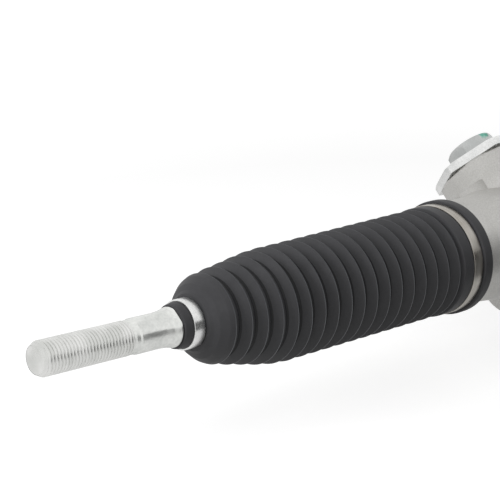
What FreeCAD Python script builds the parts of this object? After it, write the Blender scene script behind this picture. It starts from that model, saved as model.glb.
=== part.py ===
import FreeCAD, Part
import Sketcher
import math
import os
import re

# Rack and pinion steering gear with a cast aluminium housing, two inner tie rods and two bellows.
# +X runs along the rack, away from the end whose pinion and yoke are close to the bellows.
# +Z is up, and the origin is on the rack's axis, midway between the two pinion-side mounting bolts.
# Near and far name the two ends of the rack: near is the end at -X, beside the pinion.

V = FreeCAD.Vector

SIZES = {
    # rack bar and its travel
    "rack_radius": 12.0,
    "rack_travel": 68.0,
    "near_ball_x": -194.0,
    "far_ball_x": 416.0,
    "rack_end_bore": 7.05,
    "rack_end_depth": 26.0,
    "rack_end_chamfer": 1.0,
    "milled_margin": 3.0,
    # rack and pinion teeth, in the plane that holds the rack's axis and the yoke's
    "transverse_module": 2.0,
    "pinion_teeth": 8,
    "rack_spaces": 27,
    "rack_line": 6.4,
    "pressure_angle": 20.0,
    "helix_angle": 20.0,
    "profile_shift": 0.55,
    "pinion_outer_radius": 10.6,
    "pinion_root_radius": 6.6,
    "backlash": 0.1,
    "tip_clearance": 0.3,
    # pinion shaft, measured along it from the rack's mid plane towards the steering column
    "pinion_x": -50.0,
    "gear_lean": 43.0,
    "toothed_length": 28.0,
    "journal_radius": 5.0,
    "journal_end": 27.5,
    "journal_start": 17.0,
    "neck_radius": 6.4,
    "collar_radius": 10.4,
    "seat_start": 18.0,
    "shaft_radius": 8.5,
    "seal_shaft_radius": 8.0,
    "clip_groove_depth": 0.6,
    "clip_thickness": 1.2,
    "clip_outer_radius": 10.4,
    "input_start": 60.0,
    "input_radius": 7.5,
    "input_end": 92.0,
    "bolt_groove_start": 78.0,
    "bolt_groove_width": 6.0,
    "bolt_groove_depth": 0.9,
    "shaft_chamfer": 1.0,
    # upper ball bearing
    "bearing_width": 10.0,
    "bearing_outer_radius": 17.5,
    "bearing_ball_radius": 2.6,
    "race_gap": 0.05,
    "ring_gap": 1.6,
    "cage_wall": 1.2,
    "cage_width": 6.6,
    "cage_play": 0.12,
    "bearing_balls": 9,
    # lower bearing and plug
    "lower_bearing_radius": 8.0,
    "lower_bearing_length": 9.5,
    "lower_plug_radius": 10.5,
    "lower_plug_length": 4.0,
    "lower_plug_lip": 1.5,
    # bearing retainer, seal and dust cover
    "retainer_radius": 18.5,
    "retainer_length": 7.0,
    "retainer_bore": 11.0,
    "retainer_slot_width": 5.0,
    "retainer_slot_depth": 2.0,
    "seal_radius": 14.0,
    "seal_length": 4.0,
    "seal_lip": 1.6,
    "dust_cover_wall": 1.6,
    "dust_cover_height": 8.0,
    "dust_cover_skirt": 6.0,
    # yoke, spring, adjuster plug and lock nut, measured along the yoke from the rack's axis
    "yoke_radius": 16.0,
    "yoke_start": 2.0,
    "yoke_end": 27.0,
    "liner_thickness": 0.45,
    "liner_width": 18.0,
    "liner_start": 3.2,
    "spring_pocket_radius": 8.0,
    "spring_pocket_floor": 17.0,
    "spring_mean_radius": 6.2,
    "spring_wire_radius": 1.3,
    "spring_turns": 3.0,
    "o_ring_radius": 1.05,
    "o_ring_height": 21.5,
    "o_ring_groove_width": 2.6,
    "yoke_lift": 0.1,
    "plug_thread_radius": 18.2,
    "plug_pocket_depth": 10.0,
    "plug_hex_width": 24.5,
    "plug_hex_top": 55.7,
    "nut_width": 48.0,
    "nut_thickness": 6.5,
    "boss_top": 41.5,
    "boss_radius": 24.4,
    "boss_chamfer": 1.0,
    "boss_rib_width": 5.0,
    "boss_rib_spread": 9.0,
    "boss_rib_top": 30.0,
    "boss_rib_reach": 20.0,
    # housing tube and its ends, the ends measured outboard from each ball centre
    "tube_end": -65.0,
    "seat_end": -83.0,
    "seat_radius": 23.0,
    "seat_chamfer": 1.0,
    "stop_gap": 0.3,
    "stop_bore": 18.5,
    "main_bore": 14.0,
    "bore_chamfer": 1.5,
    "near_tube_radius": 24.8,
    "case_radius": 26.8,
    "case_flare_start": -102.0,
    "case_start": -84.0,
    "case_end": -16.0,
    "tube_radius": 21.0,
    "case_taper_length": 14.0,
    "collar_length": 12.0,
    "collar_taper": 8.0,
    "tube_rib_height": 3.0,
    "tube_rib_width": 5.0,
    "tube_rib_gap": 18.0,
    "tower_radius": 22.6,
    "tower_top": 36.5,
    "tower_chamfer": 1.2,
    "tower_start": 13.0,
    "tower_flare": 6.0,
    "barrel_radius": 16.5,
    "barrel_end": 19.0,
    "foot_radius": 14.0,
    "foot_end": 32.0,
    "pinion_pocket_radius": 12.4,
    "pinion_pocket_end": 16.0,
    # mounting ears and their bushes
    "ear_spacing": 88.0,
    "ear_radius": 18.0,
    "ear_height": 34.0,
    "ear_web_height": 18.0,
    "ear_web_root": 30.0,
    "ear_web_width": 26.0,
    "ear_bore": 13.0,
    "sleeve_radius": 9.0,
    "sleeve_bore": 6.1,
    "sleeve_length": 40.0,
    "ear_chamfer": 1.0,
    # saddle rubber near the far end
    "saddle_x": 262.0,
    "saddle_length": 38.0,
    "saddle_radius": 25.5,
    "saddle_flange_radius": 28.5,
    "saddle_flange_width": 5.0,
    "saddle_ring_height": 2.0,
    "saddle_ring_width": 4.0,
    # rack bush in the far end
    "bush_length": 20.0,
    "bush_wall": 3.4,
    "bush_ring_width": 1.8,
    "bush_ring_depth": 1.6,
    # ball joint, measured outboard from the ball's centre
    "ball_radius": 11.0,
    "seat_wall": 1.35,
    "socket_radius": 17.0,
    "socket_back": -26.0,
    "socket_nose": 7.0,
    "socket_nose_radius": 13.6,
    "socket_taper_start": 0.5,
    "socket_lip": 5.0,
    "socket_lip_radius": 9.9,
    "socket_hex_length": 7.0,
    "socket_hex_width": 30.0,
    "socket_cavity_floor": -11.6,
    "seat_back": -9.6,
    "socket_stud_radius": 7.0,
    "socket_stud_length": 22.0,
    "washer_thickness": 1.5,
    "washer_radius": 16.0,
    "washer_tab_width": 9.0,
    "washer_tab_length": 5.0,
    # tie rod, measured outboard from the ball's centre
    "tie_neck_radius": 6.0,
    "tie_neck_end": 16.0,
    "tie_shank_radius": 7.25,
    "tie_shank_start": 24.0,
    "tie_groove_start": 84.0,
    "tie_groove_end": 95.6,
    "tie_groove_radius": 7.4,
    "tie_shoulder_radius": 8.3,
    "tie_shoulder_width": 0.8,
    "tie_flare_end": 102.5,
    "tie_flat_width": 12.6,
    "tie_flat_start": 98.5,
    "tie_flat_end": 112.5,
    "tie_flat_turn": -40.0,
    "tie_collar_radius": 8.0,
    "tie_collar_start": 82.0,
    "tie_flare_radius": 20.0,
    "tie_runout_start": 113.0,
    "tie_runout_radius": 6.7,
    "tie_thread_start": 115.7,
    "tie_thread_radius": 7.0,
    "tie_thread_length": 41.6,
    "tie_chamfer": 1.0,
    # bellows, measured outboard from the ball's centre
    "boot_lip_end": -82.5,
    "boot_lip_start": -76.2,
    "boot_lip_radius": 27.9,
    "boot_band_end": -69.6,
    "boot_band_radius": 25.5,
    "boot_ring_end": -63.4,
    "boot_ring_radius": 25.9,
    "boot_first_crest": -60.0,
    "boot_crest_radius": 25.9,
    "boot_crest_taper": 0.075,
    "boot_pitch": 7.92,
    "boot_depth": 4.0,
    "boot_nose_pitch": 7.4,
    "boot_nose_depth": 2.8,
    "boot_nose_end": 83.6,
    "boot_shoulder_radius": 11.6,
    "boot_cuff_band_start": 84.8,
    "boot_cuff_band_end": 90.6,
    "boot_cuff_end": 95.2,
    "boot_cuff_radius": 9.6,
    "boot_cuff_tip_radius": 8.9,
    "boot_bore": 19.4,
    "boot_fit": 0.05,
    "cuff_fit": 0.2,
    # clamps
    "large_clamp_thickness": 0.6,
    "large_clamp_width": 6.0,
    "small_clamp_thickness": 0.6,
    "small_clamp_width": 5.2,
    "clamp_ear_height": 3.0,
    "clamp_ear_width": 7.0,
    # clearances
    "press_gap": 0.02,
    "slide_gap": 0.04,
    "thread_gap": 0.05,
    "soft_gap": 0.2,
}

# Crest radii of the tapering nose of the bellows, from its small end inwards.
NOSE_CRESTS = [18.9, 20.5, 21.8, 23.2, 24.4]
BODY_CRESTS = 13

doc = FreeCAD.newDocument("steering_rack")
sheet = doc.addObject("Spreadsheet::Sheet", "dims")
for row, (alias, value) in enumerate(SIZES.items(), 1):
    sheet.set(f"A{row}", alias)
    sheet.set(f"B{row}", str(value))
    sheet.setAlias(f"B{row}", alias)
doc.recompute()

WORD = re.compile(r"[a-z_]+")


def link(text):
    """An expression written with plain size names, pointed at the sheet's cells."""
    return WORD.sub(lambda m: f"dims.{m[0]}" if m[0] in SIZES else m[0], text)


def size(text):
    """The value of such an expression now."""
    return float(sheet.evalExpression(link(text)))


def drive(thing, **expressions):
    for prop, text in expressions.items():
        thing.setExpression(prop.replace("__", "."), link(text))


# Placement: each frame gives the rotation that takes a piece's own Z axis to its real direction.
FRAMES = {
    "upright": (V(0, 0, 1), "0"),
    "along": (V(0, 1, 0), "90"),
    "back": (V(0, -1, 0), "90"),
    "yoke": (V(-1, 0, 0), "gear_lean"),
    "pinion": (V(1, 0, 0), "90 - gear_lean"),
}
CENTRE = "(0.5 * pinion_teeth + profile_shift) * transverse_module + rack_line"
PINION_PLACE = {
    "x": "pinion_x",
    "y": f"-({CENTRE}) * sin(gear_lean * 1deg)",
    "z": f"-({CENTRE}) * cos(gear_lean * 1deg)",
}


def place(thing, frame, x="0", y="0", z="0"):
    axis, angle = FRAMES[frame]
    thing.Placement = FreeCAD.Placement(V(0, 0, 0), FreeCAD.Rotation(axis, size(angle)))
    if angle != "0":
        drive(thing, Placement__Rotation__Angle=f"({angle}) * 1deg")
    drive(thing, Placement__Base__x=x, Placement__Base__y=y, Placement__Base__z=z)
    return thing


def sketch_outline(sketch, points):
    """A closed outline. A point is (x, y), or (x, y, radius) where an arc runs on to the next
    point, its centre on the left of the way there, or on the right if the radius is negative."""
    count = len(points)
    spots = [V(size(p[0]), size(p[1]), 0) for p in points]
    for i, point in enumerate(points):
        start, end = spots[i], spots[(i + 1) % count]
        if len(point) == 2:
            sketch.addGeometry(Part.LineSegment(start, end), False)
            continue
        radius = size(point[2])
        chord = end - start
        left = V(-chord.y, chord.x, 0).normalize()
        rise = math.sqrt(max(radius ** 2 - (chord.Length / 2) ** 2, 0))
        centre = (start + end) * 0.5 + left * math.copysign(rise, radius)
        angles = [math.atan2(p.y - centre.y, p.x - centre.x) for p in (start, end)]
        if radius < 0:
            angles.reverse()
        circle = Part.Circle(centre, V(0, 0, 1), abs(radius))
        sketch.addGeometry(Part.ArcOfCircle(circle, *angles), False)
    first = [2 if len(p) == 3 and size(p[2]) < 0 else 1 for p in points]
    for i in range(count):
        after = (i + 1) % count
        sketch.addConstraint(Sketcher.Constraint("Coincident", i, 3 - first[i], after, first[after]))
    for i, point in enumerate(points):
        for kind, text, value in (("DistanceX", point[0], spots[i].x), ("DistanceY", point[1], spots[i].y)):
            number = sketch.addConstraint(Sketcher.Constraint(kind, -1, 1, i, first[i], value))
            sketch.setExpression(f"Constraints[{number}]", link(text))
        if len(point) == 3:
            number = sketch.addConstraint(Sketcher.Constraint("Radius", i, abs(size(point[2]))))
            sketch.setExpression(f"Constraints[{number}]", link(f"abs({point[2]})"))


def new_sketch(body, name, plane, points):
    sketch = body.newObject("Sketcher::SketchObject", name)
    origin_plane = [f for f in body.Origin.OriginFeatures if f.Role == plane][0]
    sketch.AttachmentSupport = [(origin_plane, "")]
    sketch.MapMode = "FlatFace"
    sketch_outline(sketch, points)
    return sketch


def new_body(name):
    return doc.addObject("PartDesign::Body", name)


def turn(body, name, points, cut=False):
    """Turns an outline of (radius, height) points about the body's own Z axis."""
    sketch = new_sketch(body, f"{name}_outline", "XZ_Plane", points)
    feature = body.newObject("PartDesign::Groove" if cut else "PartDesign::Revolution", name)
    feature.Profile = sketch
    feature.ReferenceAxis = (sketch, ["V_Axis"])
    feature.Angle = 360
    body.Tip = feature
    return feature


def turned(name, points):
    body = new_body(name)
    turn(body, f"{name}_turned", points)
    return body


def prism(body, name, plane, points, length, offset="0", cut=False, both=False, spin="0"):
    """Pads or pockets an outline by a length, from a plane shifted by an offset."""
    sketch = new_sketch(body, f"{name}_outline", plane, points)
    sketch.AttachmentOffset = FreeCAD.Placement(V(0, 0, 0), FreeCAD.Rotation(V(0, 0, 1), size(spin)))
    drive(sketch, AttachmentOffset__Base__z=offset)
    if spin != "0":
        drive(sketch, AttachmentOffset__Rotation__Angle=f"({spin}) * 1deg")
    feature = body.newObject("PartDesign::Pocket" if cut else "PartDesign::Pad", name)
    feature.Profile = sketch
    feature.Midplane = both
    if cut:
        feature.Reversed = True
    drive(feature, Length=length)
    body.Tip = feature
    return feature


def hexagon(width):
    """Corners of a hexagon of a given width across flats, one corner on +Y."""
    across = f"({width}) / 2"
    corner = f"({width}) / sqrt(3)"
    return [
        (across, f"{corner} / 2"), ("0", corner), (f"-({across})", f"{corner} / 2"),
        (f"-({across})", f"-({corner}) / 2"), ("0", f"-({corner})"), (across, f"-({corner}) / 2"),
    ]


def chamfer_hex(body, name, width, top):
    """Turns the 30 degree chamfer off the corners of a hexagon that ends at a height."""
    flat = f"({width}) / 2 * 0.98"
    corner = f"({width}) / sqrt(3) + 1"
    drop = f"({top}) - (({corner}) - ({flat})) * tan(30deg)"
    turn(body, name, [(flat, top), (corner, drop), (corner, top)], cut=True)


def rectangle(left, right, low, high):
    return [(left, low), (right, low), (right, high), (left, high)]


def cylinder(name, radius, length, frame="upright", start="0", x="0", y="0", z="0"):
    """A cylinder whose own axis runs from start to start + length in its frame."""
    thing = doc.addObject("Part::Cylinder", name)
    drive(thing, Radius=radius, Height=length)
    along = {
        "upright": ("0", "0", "1"), "along": ("1", "0", "0"), "back": ("-1", "0", "0"),
        "yoke": ("0", "sin(gear_lean * 1deg)", "cos(gear_lean * 1deg)"),
        "pinion": ("0", "-cos(gear_lean * 1deg)", "sin(gear_lean * 1deg)"),
    }[frame]
    place(thing, frame, *[f"{base} + ({start}) * {part}" for base, part in zip((x, y, z), along)])
    return thing


def cone(name, radius, end_radius, length, frame, x):
    thing = doc.addObject("Part::Cone", name)
    drive(thing, Radius1=radius, Radius2=end_radius, Height=length)
    return place(thing, frame, x)


def box(name, low, high):
    """A box between two corners, each given as three expressions."""
    thing = doc.addObject("Part::Box", name)
    drive(thing, **{
        side: f"({b}) - ({a})" for side, a, b in zip(("Length", "Width", "Height"), low, high)
    })
    return place(thing, "upright", *low)


def fused(name, things):
    joined = doc.addObject("Part::MultiFuse", name)
    joined.Shapes = things
    return joined


def removed(name, base, tool):
    result = doc.addObject("Part::Cut", name)
    result.Base = base
    result.Tool = tool
    return result


subparts = []


def keep(thing, label):
    thing.Label = label
    subparts.append(thing)
    return thing


# Rack: a round bar, milled flat and toothed on the side away from the yoke. Its ends are bored
# for the studs of the ball sockets. The tooth spaces slant with the pinion's helix.
RACK_NEAR = "(near_ball_x - socket_back + washer_thickness)"
RACK_FAR = "(far_ball_x + socket_back - washer_thickness)"
TOOTH_PITCH = "(pi * transverse_module)"
TIP_LINE = "(-rack_line - transverse_module)"
ROOT_LINE = f"(-({CENTRE}) + pinion_outer_radius + tip_clearance)"


def rack_bar():
    body = turned("rack_bar", [
        ("0", f"{RACK_NEAR} + rack_end_depth"),
        ("rack_end_bore", f"{RACK_NEAR} + rack_end_depth"),
        ("rack_end_bore", RACK_NEAR),
        ("rack_radius - rack_end_chamfer", RACK_NEAR),
        ("rack_radius", f"{RACK_NEAR} + rack_end_chamfer"),
        ("rack_radius", f"{RACK_FAR} - rack_end_chamfer"),
        ("rack_radius - rack_end_chamfer", RACK_FAR),
        ("rack_end_bore", RACK_FAR),
        ("rack_end_bore", f"{RACK_FAR} - rack_end_depth"),
        ("0", f"{RACK_FAR} - rack_end_depth"),
    ])
    return place(body, "along")


def rack_cutter():
    """The milled flat and the tooth spaces, as one cutter that is symmetric about the pinion."""
    body = new_body("rack_cutter")
    half_length = f"(0.5 * rack_spaces * {TOOTH_PITCH} + milled_margin)"
    below = "-rack_radius - 1"
    wide = "3 * rack_radius"
    prism(body, "rack_milling", "XZ_Plane", rectangle(
        f"pinion_x - {half_length}", f"pinion_x + {half_length}", below, TIP_LINE,
    ), wide, both=True)
    first = f"(pinion_x - 0.5 * (rack_spaces - 1) * {TOOTH_PITCH})"
    slope = "tan(pressure_angle * 1deg)"
    middle = f"(0.25 * {TOOTH_PITCH} + 0.5 * backlash)"
    open_half = f"({middle} + (rack_radius + 1 - rack_line) * {slope})"
    root_half = f"({middle} - (rack_line + {ROOT_LINE}) * {slope})"
    space = prism(body, "tooth_space", "XZ_Plane", [
        (f"{first} - {open_half}", below), (f"{first} + {open_half}", below),
        (f"{first} + {root_half}", ROOT_LINE), (f"{first} - {root_half}", ROOT_LINE),
    ], wide, both=True)
    space.UseCustomVector = True
    space.Direction = V(math.tan(math.radians(size("helix_angle"))), 1, 0)
    drive(space, Direction__x="tan(helix_angle * 1deg)")
    doc.recompute()
    pattern = body.newObject("PartDesign::LinearPattern", "tooth_spaces")
    pattern.Originals = [space]
    pattern.Direction = (space.Profile[0], ["H_Axis"])
    drive(pattern, Length=f"(rack_spaces - 1) * {TOOTH_PITCH}", Occurrences="rack_spaces")
    body.Tip = pattern
    return place(body, "yoke")


keep(removed("rack_shape", rack_bar(), rack_cutter()), "rack")


# Pinion: a stepped shaft with helical involute teeth in mesh with the rack, one tooth in the
# middle of a rack space at rest. The teeth are lofted through sections turned along the helix.
def involute_point(base_radius, radius, start_angle):
    """Point of an involute at a radius, its angle measured back from the tooth's middle."""
    pressure = math.acos(base_radius / radius)
    angle = start_angle - (math.tan(pressure) - pressure)
    return V(radius * math.sin(angle), radius * math.cos(angle), 0)


def pinion_section(height):
    teeth = int(size("pinion_teeth"))
    module = size("transverse_module")
    pitch_radius = 0.5 * teeth * module
    pressure = math.radians(size("pressure_angle"))
    base_radius = pitch_radius * math.cos(pressure)
    tooth_angle = (math.pi / 2 + 2 * size("profile_shift") * math.tan(pressure)) / teeth
    start_angle = tooth_angle + math.tan(pressure) - pressure
    root, tip = size("pinion_root_radius"), size("pinion_outer_radius")
    low = max(base_radius, root) + 1e-4
    flank = [involute_point(base_radius, r, start_angle) for r in (low, (low + tip) / 2, tip)]
    foot = V(root * math.sin(start_angle), root * math.cos(start_angle), 0)
    mirror = lambda p: V(-p.x, p.y, 0)
    twist = math.degrees(height * math.tan(math.radians(size("helix_angle"))) / pitch_radius)
    edges = []
    for number in range(teeth):
        turn_tooth = FreeCAD.Rotation(V(0, 0, 1), number * 360 / teeth + twist)
        step = FreeCAD.Rotation(V(0, 0, 1), 360 / teeth)
        spot = lambda p: turn_tooth.multVec(p) + V(0, 0, height)
        edges.append(Part.makeLine(spot(foot), spot(flank[0])))
        edges.append(Part.Arc(*[spot(p) for p in flank]).toShape())
        edges.append(Part.Arc(spot(flank[2]), spot(V(0, tip, 0)), spot(mirror(flank[2]))).toShape())
        edges.append(Part.Arc(*[spot(mirror(p)) for p in reversed(flank)]).toShape())
        edges.append(Part.makeLine(spot(mirror(flank[0])), spot(mirror(foot))))
        next_foot = step.multVec(foot)
        middle = (mirror(foot) + next_foot).normalize() * root
        edges.append(Part.Arc(spot(mirror(foot)), spot(middle), spot(next_foot)).toShape())
    return Part.Wire(edges)


def pinion_teeth():
    half = size("toothed_length") / 2
    sections = [pinion_section(half * step / 3) for step in range(-3, 4)]
    teeth = doc.addObject("Part::Feature", "pinion_teeth")
    teeth.Shape = Part.makeLoft(sections, True, False)
    return teeth


def pinion_shaft():
    half = "toothed_length / 2"
    seat_end = "(seat_start + bearing_width + thread_gap)"
    clip_end = f"({seat_end} + clip_thickness + 2 * thread_gap)"
    groove_end = "(bolt_groove_start + bolt_groove_width)"
    return turned("pinion_shaft", [
        ("0", "-journal_end"),
        ("journal_radius - shaft_chamfer", "-journal_end"),
        ("journal_radius", "-journal_end + shaft_chamfer"),
        ("journal_radius", "-journal_start"),
        ("neck_radius", "-journal_start"),
        ("neck_radius", half),
        ("collar_radius", half),
        ("collar_radius", "seat_start"),
        ("shaft_radius", "seat_start"),
        ("shaft_radius", seat_end),
        ("seal_shaft_radius - clip_groove_depth", seat_end),
        ("seal_shaft_radius - clip_groove_depth", clip_end),
        ("seal_shaft_radius", clip_end),
        ("seal_shaft_radius", "input_start - shaft_chamfer"),
        ("input_radius", "input_start"),
        ("input_radius", "bolt_groove_start"),
        ("input_radius - bolt_groove_depth", "bolt_groove_start + bolt_groove_depth"),
        ("input_radius - bolt_groove_depth", f"{groove_end} - bolt_groove_depth"),
        ("input_radius", groove_end),
        ("input_radius", "input_end - shaft_chamfer"),
        ("input_radius - shaft_chamfer", "input_end"),
        ("0", "input_end"),
    ])


def on_pinion(thing):
    return place(thing, "pinion", **PINION_PLACE)


pinion = on_pinion(fused("pinion_shape", [pinion_shaft(), pinion_teeth()]))
keep(pinion, "pinion")


# Upper ball bearing, between the pinion and the tower of the housing.
BEARING_MIDDLE = "(seat_start + bearing_width / 2)"
BEARING_END = "(seat_start + bearing_width)"
GROOVE = "(bearing_ball_radius + race_gap)"
BALL_CIRCLE = "((shaft_radius + bearing_outer_radius) / 2)"


def race(name, plain_radius, bore, inner):
    """One ring: a plain ring whose ball groove is an arc about the circle of the balls."""
    away = f"sqrt({GROOVE}^2 - ring_gap^2)"
    low, high = f"{BEARING_MIDDLE} - {away}", f"{BEARING_MIDDLE} + {away}"
    if inner:
        return turned(name, [
            (bore, "seat_start"), (plain_radius, "seat_start"),
            (plain_radius, low, f"-{GROOVE}"), (plain_radius, high),
            (plain_radius, BEARING_END), (bore, BEARING_END),
        ])
    return turned(name, [
        (bore, "seat_start"), (bore, BEARING_END), (plain_radius, BEARING_END),
        (plain_radius, high, f"-{GROOVE}"), (plain_radius, low), (plain_radius, "seat_start"),
    ])


def ball_circle(name, radius):
    balls = []
    count = int(size("bearing_balls"))
    for number in range(count):
        ball = doc.addObject("Part::Sphere", f"{name}_{number + 1}")
        angle = f"({number} * 360 / bearing_balls) * 1deg"
        drive(ball, Radius=radius)
        place(ball, "upright", f"{BALL_CIRCLE} * cos({angle})",
              f"{BALL_CIRCLE} * sin({angle})", BEARING_MIDDLE)
        balls.append(ball)
    return balls


def bearing_cage():
    inner = f"({BALL_CIRCLE} - cage_wall / 2)"
    outer = f"({BALL_CIRCLE} + cage_wall / 2)"
    low = f"{BEARING_MIDDLE} - cage_width / 2"
    high = f"{BEARING_MIDDLE} + cage_width / 2"
    ring = turned("cage_ring", rectangle(inner, outer, low, high))
    holes = []
    for number in range(int(size("bearing_balls"))):
        turn_to = f"({number} * 360 / bearing_balls) * 1deg"
        outwards = V(-size(f"sin({turn_to})"), size(f"cos({turn_to})"), 0)
        hole = doc.addObject("Part::Cylinder", f"cage_pocket_{number + 1}")
        drive(hole, Radius="bearing_ball_radius + cage_play", Height="4 * cage_wall")
        hole.Placement = FreeCAD.Placement(V(0, 0, 0), FreeCAD.Rotation(outwards, 90))
        start = f"({BALL_CIRCLE} - 2 * cage_wall)"
        drive(hole, Placement__Base__x=f"{start} * cos({turn_to})",
              Placement__Base__y=f"{start} * sin({turn_to})", Placement__Base__z=BEARING_MIDDLE)
        holes.append(hole)
    return removed("cage_shape", ring, fused("cage_pockets", holes))


inner_race = race("inner_race", f"({BALL_CIRCLE} - ring_gap)", "shaft_radius + press_gap", True)
outer_race = race("outer_race", f"({BALL_CIRCLE} + ring_gap)", "bearing_outer_radius", False)
balls = doc.addObject("Part::Compound", "ball_set")
balls.Links = ball_circle("ball", "bearing_ball_radius")
keep(on_pinion(inner_race), "bearing_inner_ring")
keep(on_pinion(outer_race), "bearing_outer_ring")
keep(on_pinion(balls), "bearing_balls")
keep(on_pinion(bearing_cage()), "bearing_cage")


# Shaft circlip above the bearing, open on one side so that it can spring into its groove.
def shaft_circlip():
    low = f"{BEARING_END} + 2 * thread_gap"
    body = turned("circlip_ring", rectangle(
        "seal_shaft_radius - clip_groove_depth + thread_gap", "clip_outer_radius",
        low, f"{low} + clip_thickness"))
    prism(body, "circlip_opening", "XY_Plane", rectangle(
        "0", "clip_outer_radius + 1", "-clip_thickness", "clip_thickness"),
        "clip_thickness + 1", f"{low} - 0.5", cut=True)
    return body


keep(on_pinion(shaft_circlip()), "shaft_circlip")


# Threaded retainer over the bearing, with four wrench slots, and the lip seal inside it.
SEAL_START = "(seat_start + bearing_width + retainer_length - seal_length)"
SEAL_END = "(seat_start + bearing_width + retainer_length)"


def bearing_retainer():
    start = f"{BEARING_END} + press_gap"
    body = turned("retainer_ring", [
        ("retainer_bore", start), ("retainer_radius", start), ("retainer_radius", SEAL_END),
        ("seal_radius", SEAL_END), ("seal_radius", SEAL_START), ("retainer_bore", SEAL_START),
    ])
    slot = prism(body, "wrench_slot", "XY_Plane", rectangle(
        "seal_radius + 1", "retainer_radius + 1", "-retainer_slot_width / 2",
        "retainer_slot_width / 2"), "retainer_slot_depth + 1",
        f"{SEAL_END} - retainer_slot_depth", cut=True)
    doc.recompute()
    pattern = body.newObject("PartDesign::PolarPattern", "wrench_slots")
    pattern.Originals = [slot]
    pattern.Axis = (slot.Profile[0], ["N_Axis"])
    pattern.Angle = 360
    pattern.Occurrences = 4
    body.Tip = pattern
    return body


def pinion_seal():
    outer = "seal_radius - press_gap"
    low = f"{SEAL_START} + press_gap"
    lip = "seal_shaft_radius + slide_gap"
    return turned("seal_ring", [
        (lip, f"{low} + seal_lip"), (f"{lip} + 0.8", low), (outer, low), (outer, SEAL_END),
        (f"{lip} + seal_lip", SEAL_END), (f"{lip} + seal_lip", f"{low} + 1.5 * seal_lip"),
    ])


def dust_cover():
    skirt = "tower_radius + boot_fit"
    outer = f"{skirt} + dust_cover_wall"
    top = "tower_top + dust_cover_height"
    hole = "seal_shaft_radius + soft_gap"
    seat = "tower_top + boot_fit"
    return turned("dust_cap", [
        (skirt, "tower_top - dust_cover_skirt"), (outer, "tower_top - dust_cover_skirt"),
        (outer, "tower_top + dust_cover_wall"), (f"{hole} + 2 * dust_cover_wall", top),
        (hole, top), (hole, f"{top} - dust_cover_wall"),
        (f"{hole} + dust_cover_wall", f"{top} - dust_cover_wall"),
        ("retainer_radius", seat), (skirt, seat),
    ])


keep(on_pinion(bearing_retainer()), "bearing_retainer")
keep(on_pinion(pinion_seal()), "pinion_seal")
keep(on_pinion(dust_cover()), "pinion_dust_cover")


# Lower needle bearing shell and the pressed plug that closes the foot below it.
LOWER_START = "(-journal_start - soft_gap - lower_bearing_length)"
PLUG_TOP = "(-journal_end - 2 * soft_gap)"
lower_bearing = turned("needle_shell", rectangle(
    "journal_radius + slide_gap", "lower_bearing_radius", LOWER_START,
    f"{LOWER_START} + lower_bearing_length"))
lower_plug = turned("foot_plug", [
    ("0", f"{PLUG_TOP} - lower_plug_lip"),
    ("lower_plug_radius - lower_plug_lip", f"{PLUG_TOP} - lower_plug_lip"),
    ("lower_plug_radius - lower_plug_lip", f"{PLUG_TOP} - lower_plug_length"),
    ("lower_plug_radius", f"{PLUG_TOP} - lower_plug_length"),
    ("lower_plug_radius", PLUG_TOP), ("0", PLUG_TOP),
])
keep(on_pinion(lower_bearing), "lower_bearing")
keep(on_pinion(lower_plug), "lower_plug")


# Yoke group. The yoke's saddle and its liner follow the round back of the rack.
LINER_INNER = "(rack_radius + slide_gap)"
LINER_OUTER = "(rack_radius + slide_gap + liner_thickness)"
PLUG_START = "(yoke_end + yoke_lift)"
PLUG_SHOULDER = "(boss_top + thread_gap + nut_thickness)"


def on_yoke(thing):
    return place(thing, "yoke", "pinion_x")


def yoke():
    groove_low = "o_ring_height - o_ring_groove_width / 2"
    groove_high = "o_ring_height + o_ring_groove_width / 2"
    groove = "yoke_radius - 2 * o_ring_radius"
    body = on_yoke(turned("yoke_piston", [
        ("0", "yoke_start"), ("yoke_radius", "yoke_start"), ("yoke_radius", groove_low),
        (groove, groove_low), (groove, groove_high), ("yoke_radius", groove_high),
        ("yoke_radius", "yoke_end - shaft_chamfer"), ("yoke_radius - shaft_chamfer", "yoke_end"),
        ("spring_pocket_radius", "yoke_end"), ("spring_pocket_radius", "spring_pocket_floor"),
        ("0", "spring_pocket_floor"),
    ]))
    saddle = cylinder("yoke_saddle", f"{LINER_OUTER} + press_gap", "4 * yoke_radius", "along",
                      "-2 * yoke_radius", "pinion_x")
    return removed("yoke_shape", body, saddle)


def yoke_liner():
    body = new_body("liner_shell")
    outer = f"sqrt({LINER_OUTER}^2 - liner_start^2)"
    inner = f"sqrt({LINER_INNER}^2 - liner_start^2)"
    prism(body, "liner_arch", "YZ_Plane", [
        (outer, "liner_start", LINER_OUTER), (f"-{outer}", "liner_start"),
        (f"-{inner}", "liner_start", f"-{LINER_INNER}"), (inner, "liner_start"),
    ], "liner_width", both=True)
    return body


def yoke_o_ring():
    """The ring that keeps the yoke from rattling, with eight flats in place of a round section."""
    middle = "(yoke_radius + press_gap - o_ring_radius)"
    small, large = "o_ring_radius * sin(22.5deg)", "o_ring_radius * cos(22.5deg)"
    flats = [(small, large), (large, small), (large, f"-{small}"), (small, f"-{large}"),
             (f"-{small}", f"-{large}"), (f"-{large}", f"-{small}"), (f"-{large}", small),
             (f"-{small}", large)]
    return on_yoke(turned("yoke_o_ring_section", [
        (f"{middle} + {across_ring}", f"o_ring_height + {along_ring}")
        for across_ring, along_ring in flats
    ]))


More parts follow.
